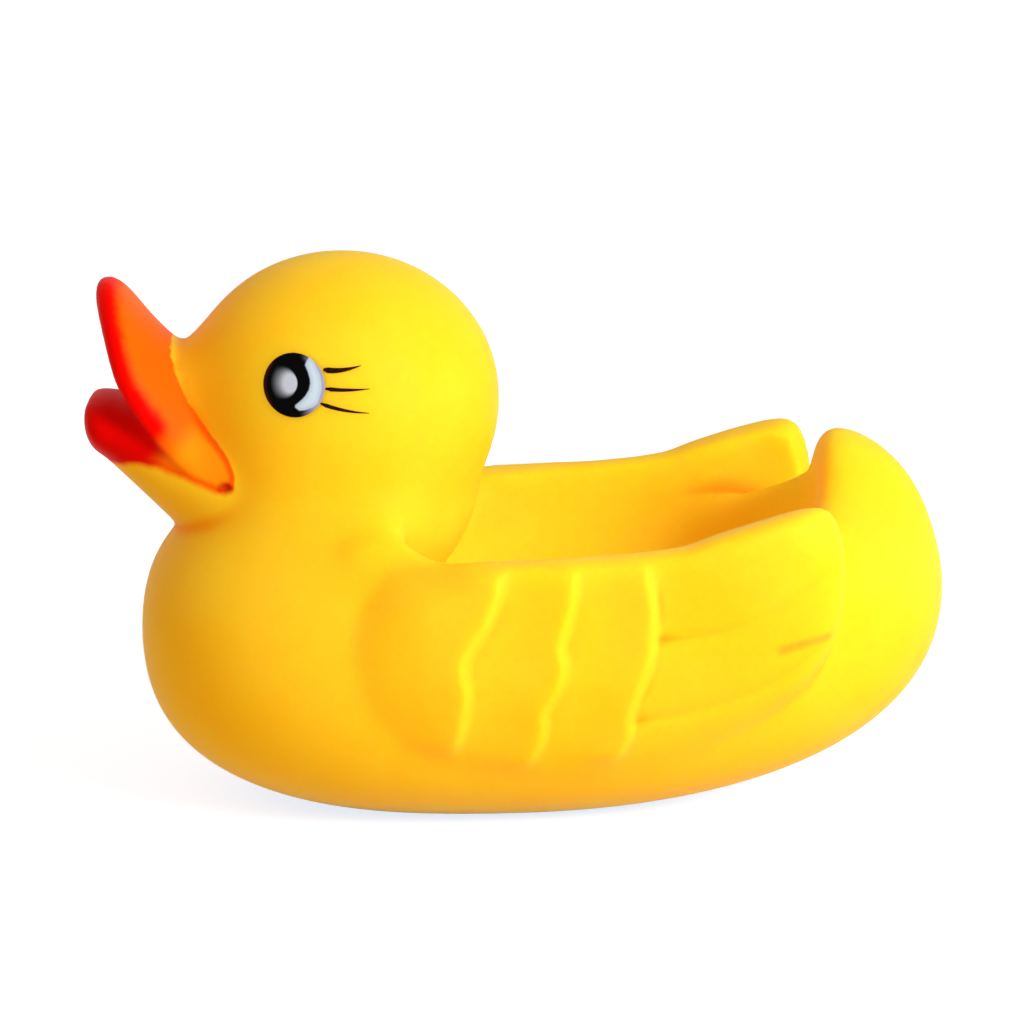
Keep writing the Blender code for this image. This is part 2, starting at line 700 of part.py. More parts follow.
def whistle_barrel():
    """The flanged tube that snaps into the seat, with an air hole in its closed end."""
    flange_low = RECESS_DEPTH - GAP - FLANGE_THICKNESS
    flange_top = RECESS_DEPTH - GAP
    outer = SEAT_DIAMETER / 2 - GAP
    ring_low = BOSS_HEIGHT + GAP
    ring_top = ring_low + SNAP_RING_HEIGHT
    ring_radius = SEAT_DIAMETER / 2 + SNAP_RING
    profile = (
        (FLANGE_DIAMETER / 2, flange_low),
        (FLANGE_DIAMETER / 2, flange_top),
        (outer, flange_top),
        (outer, ring_low),
        (ring_radius, ring_low),
        (outer, ring_top),
        (outer, BARREL_TOP),
    )
    barrel = loft("whistle_barrel", lathe(profile))
    floor = flange_low + BARREL_WALL
    combine(barrel, cylinder("bore_cutter", barrel_bore(), floor, BARREL_TOP + WALL), "DIFFERENCE")
    combine(barrel, cylinder("air_hole_cutter", AIR_HOLE, -WALL, floor + WALL), "DIFFERENCE")
    return applied(barrel, "whistle_barrel")


def barrel_bore():
    return SEAT_DIAMETER - 2 * GAP - 2 * BARREL_WALL


def block_bottom():
    """Just above the closed end of the barrel."""
    return RECESS_DEPTH - GAP - FLANGE_THICKNESS + BARREL_WALL + GAP


def reed_block():
    """A half-round plug with an air channel in its flat face, under a round cap."""
    diameter = barrel_bore() - 2 * GAP
    radius = diameter / 2
    bottom = block_bottom()
    plug = cylinder("reed_block", diameter, bottom, BARREL_TOP)
    half = block(
        "half_cutter",
        (WHISTLE_X - diameter, 0, bottom - WALL),
        (WHISTLE_X + diameter, diameter, BARREL_TOP - CAP_THICKNESS),
    )
    channel = block(
        "channel_cutter",
        (WHISTLE_X - REED_WIDTH / 4, -radius / 2, bottom + CAP_THICKNESS),
        (WHISTLE_X + REED_WIDTH / 4, radius / 2, BARREL_TOP + WALL),
    )
    combine(plug, half, "DIFFERENCE")
    combine(plug, channel, "DIFFERENCE")
    return applied(plug, "reed_block")


def reed():
    """The strip that buzzes over the channel."""
    bottom = block_bottom() + GAP
    top = BARREL_TOP - CAP_THICKNESS - GAP
    return block(
        "reed",
        (WHISTLE_X - REED_WIDTH / 2, GAP, bottom),
        (WHISTLE_X + REED_WIDTH / 2, GAP + REED_THICKNESS, top),
    )


def clear_scene():
    for old in list(bpy.data.objects):
        bpy.data.objects.remove(old)


def main():
    clear_scene()
    paint(duck_shell())
    white = material("white_polythene", WHISTLE_WHITE, 0.45)
    for piece in (whistle_barrel(), reed_block(), reed()):
        piece.data.materials.clear()
        piece.data.materials.append(white)
        piece.data.shade_smooth()
        piece.data.set_sharp_from_angle(angle=math.radians(35))


main()
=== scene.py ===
# %% [markdown]
# # A vinyl bath duck with a hollow back
# The real toy is one rotational moulding in soft yellow vinyl. Liquid plastisol is turned in a
# heated metal mould until it lines it, then the skin is pulled out through a small hole. Bill and
# eyes are painted afterwards. The order here is the same: form, skin, relief, paint, whistle.
# All lengths are metres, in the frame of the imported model: bill to -X, tail to +X, +Z up.

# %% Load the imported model
import math

import bmesh
import bpy
import numpy as np
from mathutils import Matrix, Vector


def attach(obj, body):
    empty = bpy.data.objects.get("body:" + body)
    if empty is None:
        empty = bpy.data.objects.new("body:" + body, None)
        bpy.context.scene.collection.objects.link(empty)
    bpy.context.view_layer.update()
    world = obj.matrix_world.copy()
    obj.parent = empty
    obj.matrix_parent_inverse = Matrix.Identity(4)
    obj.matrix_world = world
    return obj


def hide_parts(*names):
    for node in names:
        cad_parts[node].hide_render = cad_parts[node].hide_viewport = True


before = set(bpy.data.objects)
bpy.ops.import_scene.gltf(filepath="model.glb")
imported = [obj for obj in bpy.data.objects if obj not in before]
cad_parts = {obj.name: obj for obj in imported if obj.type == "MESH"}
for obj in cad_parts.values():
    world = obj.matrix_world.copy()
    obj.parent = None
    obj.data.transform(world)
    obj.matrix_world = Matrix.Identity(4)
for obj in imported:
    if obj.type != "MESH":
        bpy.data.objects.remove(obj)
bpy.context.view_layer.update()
MM = 0.001
print("packed nodes:", sorted(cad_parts))

# %% [markdown]
# ## A few helpers
# A mesh can be started from rings of points, as a boat builder sets up frames and planks them.
# That suits an egg, a jaw or a bill, whose cross-section changes along a line. Blender's own
# loft doesn't exist, so one short function skins the rings.

# %% Skin rings of points into a closed form
def placed(name, data):
    """A new object of the scene that shows the data."""
    made = bpy.data.objects.new(name, data)
    bpy.context.scene.collection.objects.link(made)
    return made


def form_from_mesh(name, mesh):
    """Turns a bmesh into an object of the scene."""
    data = bpy.data.meshes.new(name)
    mesh.to_mesh(data)
    mesh.free()
    return placed(name, data)


def plank(name, rings):
    """A closed skin over rings of points. The first and last ring each get a face."""
    mesh = bmesh.new()
    loops = [[mesh.verts.new(point) for point in ring] for ring in rings]
    count = len(loops[0])
    for before, after in zip(loops, loops[1:]):
        for i in range(count):
            j = (i + 1) % count
            mesh.faces.new((before[i], before[j], after[j], after[i]))
    mesh.faces.new(loops[0])
    mesh.faces.new(loops[-1])
    bmesh.ops.recalc_face_normals(mesh, faces=mesh.faces)
    return form_from_mesh(name, mesh)


def egg(name, centre, lengths):
    """An ellipsoid, for the round masses."""
    mesh = bmesh.new()
    bmesh.ops.create_uvsphere(mesh, u_segments=64, v_segments=40, radius=0.5)
    bmesh.ops.scale(mesh, vec=[length * MM for length in lengths], verts=mesh.verts)
    bmesh.ops.translate(mesh, vec=[c * MM for c in centre], verts=mesh.verts)
    return form_from_mesh(name, mesh)


def swell(share, bluntness):
    """Half-section of a rounded end: 1 in the middle, 0 at share 1."""
    return max(0.0, 1.0 - abs(share) ** bluntness) ** (1.0 / bluntness)


def ramp(value, low, high):
    """0 below low, 1 above high, and a smooth climb between."""
    share = np.clip((value - low) / (high - low), 0.0, 1.0)
    return share * share * (3.0 - 2.0 * share)


# %% Join, cut and freeze
def combine(base, tool, operation):
    boolean = base.modifiers.new(tool.name, "BOOLEAN")
    boolean.operation = operation
    boolean.solver = "EXACT"
    boolean.object = tool


def frozen(source, name):
    """A plain object with the mesh that the source's modifiers give. The source and its tools go."""
    graph = bpy.context.evaluated_depsgraph_get()
    data = bpy.data.meshes.new_from_object(source.evaluated_get(graph))
    tools = {m.object for m in source.modifiers if m.type == "BOOLEAN"}
    for old in tools | {source}:
        bpy.data.objects.remove(old)
    return placed(name, data)


def relax(piece, passes, group=""):
    """A smoothing modifier, on the whole piece or on one vertex group."""
    smooth = piece.modifiers.new("Relax", "SMOOTH")
    smooth.factor, smooth.iterations, smooth.vertex_group = 0.5, passes, group


# %% Count triangles, read points and keep a number at each
def count_triangles(piece):
    piece.data.calc_loop_triangles()
    return len(piece.data.loop_triangles)


def points_of(mesh):
    """The mesh's points in mm, one row each."""
    points = np.empty(len(mesh.vertices) * 3)
    mesh.vertices.foreach_get("co", points)
    return points.reshape(-1, 3) / MM


def keep_at_points(mesh, name, values):
    """One number per point, for a material to read by this name."""
    mesh.attributes.new(name, "FLOAT", "POINT").data.foreach_set("value", values)


# %% [markdown]
# ## The body
# The body is an egg that is blunt at the breast and drawn out at the rump. Its widest line lies
# low at the breast and higher at the tail, which is what makes a duck look afloat. It could be
# sculpted, but superellipse sections give the same fullness from a handful of numbers.

# %% Body sections
BODY_X = -5.0
BREAST_REACH, RUMP_REACH = 51.6, 71.3
BODY_HALF_WIDTH = 38.2
BREAST_HEIGHT, RUMP_HEIGHT = 27.5, 33.5
DOME_HEIGHT, KEEL_DROP = 24.8, 1.5
BREAST_BLUNTNESS, RUMP_BLUNTNESS = 2.6, 2.3
BELLY_BLUNTNESS, BACK_BLUNTNESS = 2.35, 1.95
BODY_RINGS, BODY_RING_POINTS, ALMOST_AT_END = 64, 80, 0.9995


def body_size(x):
    """Share of the full section at x, in mm."""
    if x < BODY_X:
        return swell((x - BODY_X) / BREAST_REACH, BREAST_BLUNTNESS)
    return swell((x - BODY_X) / RUMP_REACH, RUMP_BLUNTNESS)


def widest_height(x):
    low, high = BODY_X - BREAST_REACH / 2, BODY_X + RUMP_REACH / 2
    return BREAST_HEIGHT + (RUMP_HEIGHT - BREAST_HEIGHT) * ramp(x, low, high)


def body_form():
    rings = []
    for i in range(BODY_RINGS + 1):
        share = max(-ALMOST_AT_END, min(ALMOST_AT_END, -math.cos(math.pi * i / BODY_RINGS)))
        x = BODY_X + share * (BREAST_REACH if share < 0 else RUMP_REACH)
        size, middle = body_size(x), widest_height(x)
        ring = []
        for k in range(BODY_RING_POINTS):
            angle = 2 * math.pi * k / BODY_RING_POINTS
            power = 2 / (BACK_BLUNTNESS if math.sin(angle) > 0 else BELLY_BLUNTNESS)
            across = math.copysign(abs(math.cos(angle)) ** power, math.cos(angle))
            up = math.copysign(abs(math.sin(angle)) ** power, math.sin(angle))
            height = DOME_HEIGHT if up > 0 else middle + KEEL_DROP
            y, z = BODY_HALF_WIDTH * size * across, middle + height * size * up
            ring.append((x * MM, y * MM, z * MM))
        rings.append(ring)
    return plank("body_form", rings)


# %% What is scooped out of the back
HOLLOW_X, HOLLOW_LENGTH, HOLLOW_WIDTH = 14.5, 63.0, 66.0
HOLLOW_FLOOR, HOLLOW_TOP = 24.0, 56.0
HOLLOW_STEEPNESS, HOLLOW_DISH, HOLLOW_SQUARENESS = 0.75, 0.62, 0.66
HOLLOW_LEVELS, HOLLOW_RING_POINTS = 20, 72


def hollow_form(forward=0.0):
    """Straight-sided at the rim and dished at the floor."""
    depth = HOLLOW_TOP - HOLLOW_FLOOR
    levels = [(HOLLOW_TOP + depth, 1.0)]
    for i in range(HOLLOW_LEVELS):
        turn = math.pi / 2 * i / HOLLOW_LEVELS
        z = HOLLOW_TOP - depth * math.sin(turn) ** HOLLOW_STEEPNESS
        levels.append((z, math.cos(turn) ** HOLLOW_DISH))
    rings = []
    for z, size in levels:
        ring = []
        for k in range(HOLLOW_RING_POINTS):
            angle = 2 * math.pi * k / HOLLOW_RING_POINTS
            x = math.copysign(abs(math.cos(angle)) ** HOLLOW_SQUARENESS, math.cos(angle))
            y = math.copysign(abs(math.sin(angle)) ** HOLLOW_SQUARENESS, math.sin(angle))
            x = HOLLOW_X - forward + HOLLOW_LENGTH / 2 * size * x
            y = HOLLOW_WIDTH / 2 * size * y
            ring.append((x * MM, y * MM, z * MM))
        rings.append(ring)
    return plank("hollow_form", rings)


# %% [markdown]
# ## The bill
# The lower bill is the end of a cone that starts in the throat. The upper bill is an arched plate
# that sweeps up to a thin tip, with lips that hang down at its sides until they meet the lower
# bill at the mouth's corners. A flat ring that is bent down at its sides draws that in one go.

# %% Rings for both halves of the bill
def ellipse_ring(centre, above, width, depth, count=48):
    ring = []
    for k in range(count):
        angle = 2 * math.pi * k / count
        across = Vector((0, width / 2 * math.cos(angle), 0))
        ring.append((centre + across + above * (depth / 2 * math.sin(angle))) * MM)
    return ring


THROAT, THROAT_DEPTH, THROAT_WIDTH = Vector((-36.0, 0, 50.4)), 37.0, 37.0
LOWER_LIP, LOWER_LIP_DEPTH, LOWER_LIP_WIDTH = Vector((-60.3, 0, 57.5)), 9.2, 24.0
LOWER_LIP_LIFT, LOWER_LIP_TAPER = 3.0, 1.4


def lower_bill_form():
    along = (LOWER_LIP - THROAT).normalized()
    above = Vector((along.z, 0, -along.x))
    rings = []
    for i in range(13):
        share = i / 12
        depth = THROAT_DEPTH + (LOWER_LIP_DEPTH - THROAT_DEPTH) * share
        width = THROAT_WIDTH + (LOWER_LIP_WIDTH - THROAT_WIDTH) * share
        rings.append(ellipse_ring(THROAT.lerp(LOWER_LIP, share), above, width, depth))
    for i in range(1, 10):
        turn = math.pi / 2 * i / 10
        centre = LOWER_LIP + along * (LOWER_LIP_DEPTH / 2 * math.sin(turn))
        centre += above * LOWER_LIP_LIFT * (1 - math.cos(turn))
        width = LOWER_LIP_WIDTH - LOWER_LIP_TAPER * LOWER_LIP_DEPTH * (1 - math.cos(turn))
        rings.append(ellipse_ring(centre, above, width, LOWER_LIP_DEPTH * math.cos(turn)))
    return plank("lower_bill_form", rings)


BILL_ROOT, BILL_BEND, BILL_TIP = (
    Vector((x, 0, z)) for x, z in ((-40.0, 61.5), (-52.9, 63.9), (-61.9, 79.7))
)
BILL_SKIN_ROOT, BILL_SKIN_TIP = 4.8, 2.7
PALATE_ROOT, PALATE_TIP = 12.0, 2.4
BILL_WIDTH, TIP_NARROWING, LIP_DROOP = 32.2, 10.0, 12.3
LIP_ROOT, LIP_GROWTH = 0.8, 6.0
SKIN_SQUARENESS, PALATE_SQUARENESS = 0.7, 0.95


def bill_line(share):
    """Point and upward direction on the upper bill's middle line."""
    centre = BILL_ROOT * (1 - share) ** 2 + BILL_BEND * 2 * share * (1 - share) + BILL_TIP * share**2
    along = ((BILL_BEND - BILL_ROOT) * (1 - share) + (BILL_TIP - BILL_BEND) * share).normalized()
    return centre, Vector((along.z, 0, -along.x))


def lip_droop(share):
    return LIP_DROOP * (1 - share)


def upper_bill_form():
    rings = []
    for i in range(40):
        share = math.sin(math.pi / 2 * i / 39.3)
        centre, above = bill_line(share)
        ending = math.sqrt(1 - share**12)
        skin = (BILL_SKIN_TIP + (BILL_SKIN_ROOT - BILL_SKIN_TIP) * (1 - share) ** 2) * ending
        palate = (PALATE_TIP + (PALATE_ROOT - PALATE_TIP) * (1 - share) ** 1.5) * ending
        half = (BILL_WIDTH - TIP_NARROWING * share**3) / 2 * math.sqrt(1 - share**7)
        ring = []
        for k in range(56):
            angle = 2 * math.pi * k / 56
            up = math.copysign(abs(math.sin(angle)) ** SKIN_SQUARENESS, math.sin(angle))
            squareness = SKIN_SQUARENESS if up > 0 else PALATE_SQUARENESS
            y = half * math.copysign(abs(math.cos(angle)) ** squareness, math.cos(angle))
            below = palate + (LIP_ROOT + LIP_GROWTH * share - palate) * (y / half) ** 2
            rise = up * (skin if up > 0 else min(palate, below))
            rise -= lip_droop(share) * (2 * y / BILL_WIDTH) ** 2
            ring.append((centre + Vector((0, y, 0)) + above * rise) * MM)
        rings.append(ring)
    return plank("upper_bill_form", rings)


# %% [markdown]
# ## The wings
# Each wing is a low plate on the flank. Its outline was drawn from the side, its outer face
# follows the body's own curve a little further out, and at the rear it lets go of the body and
# stands free. A sheet with thickness would do, but rings that shrink towards the middle also
# give it a rounded edge.

# %% Wing outline and plate
WING_OUTLINE = (
    (-22.6, 31.2), (-21.0, 37.8), (-16.8, 41.7), (-11.2, 43.1), (-6.0, 43.5), (3.0, 44.0),
    (12.6, 44.5), (24.0, 45.8), (29.6, 47.7), (38.1, 50.4), (43.8, 51.7), (46.4, 50.5),
    (47.9, 46.3), (48.4, 41.2), (47.7, 33.5), (44.7, 26.2), (40.3, 21.2), (33.0, 15.8),
    (24.4, 12.2), (14.2, 10.0), (7.0, 9.4), (1.0, 9.6), (-6.2, 10.9), (-12.7, 13.4),
    (-17.6, 17.8), (-21.4, 24.2),
)
WING_MIDDLE = np.array((13.0, 32.0))
WING_PROUD, WING_FLARE, WING_THICKNESS = 1.8, 8.0, 8.5
WING_EDGE_ROUNDING, WING_SUNK, WING_BEVEL = 3.4, 0.5, 0.94
WING_FOOT_SHARE, WING_FOOT_RISE, WING_TOP_LEAN = 0.4, (12.0, 30.0), 3.0
SOFT_FRONT, SOFT_BELLY, SOFT_FADE = (2.0, 16.0), (-27.0, -15.0), (20.0, 42.0)
WING_STEPS = (1.0, 0.985, 0.97, 0.95, 0.925, 0.89, 0.85, 0.8, 0.74, 0.66, 0.55, 0.4, 0.25, 0.12)
CRISP_FROM, SOFT_EARLIER = 0.89, 0.21


def smooth_loop(points, steps=8):
    """The smooth closed curve through the points."""
    given = [np.array(p) for p in points]
    made = []
    for i in range(len(given)):
        a, b, c, d = (given[(i + k) % len(given)] for k in (-1, 0, 1, 2))
        for k in range(steps):
            t = k / steps
            made.append(0.5 * (2 * b + (c - a) * t + (2 * a - 5 * b + 4 * c - d) * t**2
                               + (3 * b - a - 3 * c + d) * t**3))
    return made


def flank_width(x, z):
    """How far out the wing's outer face lies."""
    size, middle = body_size(x), widest_height(x)
    below = max(0.0, (middle - z) / (middle + KEEL_DROP)) / max(size, 0.05)
    above = max(0.0, z - middle) / DOME_HEIGHT
    behind = ramp(x, WING_MIDDLE[0], WING_OUTLINE[13][0])
    flare = WING_FLARE * behind * ramp(z, WING_OUTLINE[20][1], WING_OUTLINE[8][1])
    body = BODY_HALF_WIDTH * size * swell(min(below, 1.0), BELLY_BLUNTNESS)
    proud = WING_PROUD * (WING_FOOT_SHARE + (1 - WING_FOOT_SHARE) * ramp(z, *WING_FOOT_RISE))
    return body - WING_TOP_LEAN * above**2 + proud + flare


def body_surface(x, z):
    """How far out the bare body lies."""
    size, middle = body_size(x), widest_height(x)
    reach, bluntness = middle + KEEL_DROP, BELLY_BLUNTNESS
    if z > middle:
        reach, bluntness = DOME_HEIGHT, BACK_BLUNTNESS
    return BODY_HALF_WIDTH * size * swell(min(abs(z - middle) / (reach * size), 1.0), bluntness)


def edge_softness(x, z):
    """1 where the wing melts into breast and belly, 0 where its edge is crisp."""
    return max(ramp(-x, *SOFT_FRONT), ramp(-z, *SOFT_BELLY) * (1 - 0.5 * ramp(x, *SOFT_FADE)))


def wing_form(side):
    outer, inner = [], []
    for step in WING_STEPS:
        ring_out, ring_in = [], []
        for point in smooth_loop(WING_OUTLINE):
            soft = edge_softness(*point)
            rounded = CRISP_FROM - SOFT_EARLIER * soft
            turn = max(0.0, (step - rounded) / (1 - rounded))
            sunk = flank_width(*point) - body_surface(*point) + WING_SUNK
            crisp_edge = WING_EDGE_ROUNDING * (1 - math.sqrt(1 - turn**2))
            edge = crisp_edge + (sunk * turn**2 - crisp_edge) * soft
            x, z = WING_MIDDLE + (point - WING_MIDDLE) * step
            ring_out.append((x * MM, side * (flank_width(x, z) - edge) * MM, z * MM))
            x, z = WING_MIDDLE + (point - WING_MIDDLE) * step * WING_BEVEL
            ring_in.append((x * MM, side * (flank_width(x, z) - WING_THICKNESS) * MM, z * MM))
        outer.append(ring_out)
        inner.append(ring_in)
    return plank("wing_form", inner[::-1] + outer)


# %% [markdown]
# ## Melting the forms together
# A mould maker blends the masses in clay. Here a voxel remesh melts the joined forms into one
# even mesh, and a smoothing pass then relaxes the creases. It is done in stages, because the
# neck flows into the body over a centimetre, and the lips and the wing's edge are much crisper.

# %% Two ways to soften
def soften(skin, voxel, passes, name):
    """Melts the joined forms into one even mesh and relaxes its creases."""
    remesh = skin.modifiers.new("Melt", "REMESH")
    remesh.mode = "VOXEL"
    remesh.voxel_size = voxel * MM
    relax(skin, passes)
    return frozen(skin, name)


def relax_spots(skin, spots, reach, passes):
    """Smooths the skin near each spot (mm), fading out at reach."""
    points = points_of(skin.data)
    nearest = np.min([np.linalg.norm(points - spot, axis=1) for spot in spots], axis=0)
    near = skin.vertex_groups.new(name="near_spots")
    for index in np.flatnonzero(nearest < reach):
        near.add([int(index)], float(ramp(nearest[index], reach, 0.4 * reach)), "REPLACE")
    relax(skin, passes, near.name)
    return frozen(skin, skin.name)


# %% Soft: the body with its tail, back, neck and head. Eggs are (centre), (lengths)
COARSE_VOXEL, BACK_PASSES, NECK_PASSES, CREVICE_PASSES = 1.0, 10, 110, 26
TAIL = (45.3, 0, 36.0), (40.4, 33.0, 45.0)
NECK = (-26.8, 0, 44.0), (43.8, 44.6, 56.0)
HEAD = (-25.7, 0, 61.3), (49.2, 47.4, 45.8)
BROW = (-44.0, 0, 62.5), (24.0, 27.0, 17.0)
NECK_GUARD = (-26.8, 0, 52.0), (45.0, 50.0, 48.0)
CREVICE_FORWARD, HEAD_GUARD_GROWTH = 4.0, 1.0

skin = body_form()
combine(skin, egg("tail_form", *TAIL), "UNION")
combine(skin, hollow_form(), "DIFFERENCE")
skin = soften(skin, COARSE_VOXEL, BACK_PASSES, "scooped_body")
for name, form in (("neck_form", NECK), ("head_form", HEAD), ("brow_form", BROW)):
    combine(skin, egg(name, *form), "UNION")
skin = soften(skin, COARSE_VOXEL, NECK_PASSES, "necked_body")
print("body with neck:", len(skin.data.polygons), "faces")

# %% The crevice between nape and back. Guards keep it out of neck and head
head_guard = [length + HEAD_GUARD_GROWTH for length in HEAD[1]]
crevice = hollow_form(forward=CREVICE_FORWARD)
combine(crevice, egg("neck_guard", *NECK_GUARD), "DIFFERENCE")
combine(crevice, egg("head_guard", HEAD[0], head_guard), "DIFFERENCE")
combine(skin, frozen(crevice, "crevice_form"), "DIFFERENCE")
skin = soften(skin, COARSE_VOXEL, CREVICE_PASSES, "creviced_body")

# %% Crisp: wings, shoulders and bill
FINE_VOXEL, SKIN_PASSES = 0.62, 16
SHOULDER_X, SHOULDER_Y, SHOULDER_Z, SHOULDER_LENGTHS = -19.6, 26.2, 40.9, (13.5, 8.0, 9.0)
for side in (1, -1):
    wing = wing_form(side)
    combine(wing, hollow_form(), "DIFFERENCE")
    combine(skin, frozen(wing, "wing_form"), "UNION")
    shoulder = (SHOULDER_X, side * SHOULDER_Y, SHOULDER_Z)
    combine(skin, egg("shoulder_form", shoulder, SHOULDER_LENGTHS), "UNION")
combine(skin, lower_bill_form(), "UNION")
combine(skin, upper_bill_form(), "UNION")
skin = soften(skin, FINE_VOXEL, SKIN_PASSES, "blended_skin")

# %% Last touches: a softer nape, and a dimple at each corner of the mouth
NAPE_SPOTS, NAPE_REACH, NAPE_PASSES = ((-17.0, 26.5, 46.5), (-11.0, 29.5, 43.5)), 8.0, 90
DIMPLE, DIMPLE_Y, DIMPLE_LENGTHS = (-42.3, 50.6), 17.7, (2.4, 2.8, 2.4)
spots = [(x, side * y, z) for x, y, z in NAPE_SPOTS for side in (1, -1)]
skin = relax_spots(skin, spots, NAPE_REACH, NAPE_PASSES)
for side in (1, -1):
    pit = egg("corner_dimple", (DIMPLE[0], side * DIMPLE_Y, DIMPLE[1]), DIMPLE_LENGTHS)
    combine(skin, pit, "DIFFERENCE")
skin = frozen(skin, "blended_skin")
print("blended skin:", len(skin.data.polygons), "faces")

# %% [markdown]
# ## Feathers in relief
# The mould's wings carry three rows of scalloped feathers and two long quill lines. They follow
# paths on a surface, so Geometry Nodes press them: each point looks up the nearest place on a
# drawn line, seen from the side. In front of a row the surface climbs slowly to the feather's
# edge, and behind it falls away at once. A quill line is a shallow groove.

# %% One function adds a node with its settings and links
def add(tree, kind, inputs=None, out=None, **settings):
    """Inputs are values or other nodes' outputs. Gives back all outputs, or the one named by out."""
    node = tree.nodes.new(kind)
    for name, value in settings.items():
        setattr(node, name, value)
    for key, value in (inputs or {}).items():
        if isinstance(value, bpy.types.NodeSocket):
            tree.links.new(value, node.inputs[key])
        else:
            node.inputs[key].default_value = value
    return node.outputs if out is None else node.outputs[out]


# %% The drawn lines, as curves through three points (x, z) in mm
FEATHER_ROWS = (
    (((-1.6, 44.9), (-2.6, 37.6), (-7.5, 30.1)), ((-7.5, 30.1), (-6.4, 23.9), (-8.1, 16.3))),
    (
        ((9.0, 45.2), (8.7, 38.4), (6.5, 31.8)),
        ((6.5, 31.8), (7.5, 27.6), (4.1, 22.1)),
        ((4.1, 22.1), (4.6, 18.6), (2.6, 13.6)),
    ),
    (((18.6, 45.8), (20.5, 33.6), (17.0, 22.4)), ((17.0, 22.4), (17.2, 18.4), (15.4, 14.3))),
)
QUILL_LINES = (
    (((20.9, 33.1), (33.5, 35.5), (45.5, 42.9)),),
    (((17.9, 20.6), (33.5, 23.8), (46.0, 32.5)),),
)


def curve_through(start, middle, end, count=24):
    """Points on the smooth curve from start to end that passes through middle half-way."""
    start, middle, end = np.array(start), np.array(middle), np.array(end)
    pull = 2 * middle - (start + end) / 2
    shares = np.linspace(0, 1, count)[:, None]
    return start * (1 - shares) ** 2 + pull * 2 * shares * (1 - shares) + end * shares**2


CORNER_PASSES = 12  # rounds of easing at each line's corners


def drawn_lines(name, groups):
    """All lines in one mesh of edges, their corners eased. Each point carries its row's number."""
    points, edges, rows = [], [], []
    for row, arcs in enumerate(groups):
        line = np.concatenate([curve_through(*arc)[0 if i == 0 else 1:] for i, arc in enumerate(arcs)])
        for _ in range(CORNER_PASSES):
            line[1:-1] = (line[:-2] + 2 * line[1:-1] + line[2:]) / 4
        first = len(points)
        points += [(x * MM, 0, z * MM) for x, z in line]
        edges += [(i, i + 1) for i in range(first, len(points) - 1)]
        rows += [row] * len(line)
    data = bpy.data.meshes.new(name)
    data.from_pydata(points, edges, [])
    mark = data.attributes.new("row", "INT", "POINT")
    mark.data.foreach_set("value", rows)
    return placed(name, data)


feather_lines = drawn_lines("feather_lines", FEATHER_ROWS + QUILL_LINES)
print("feather lines:", len(feather_lines.data.edges), "short edges")


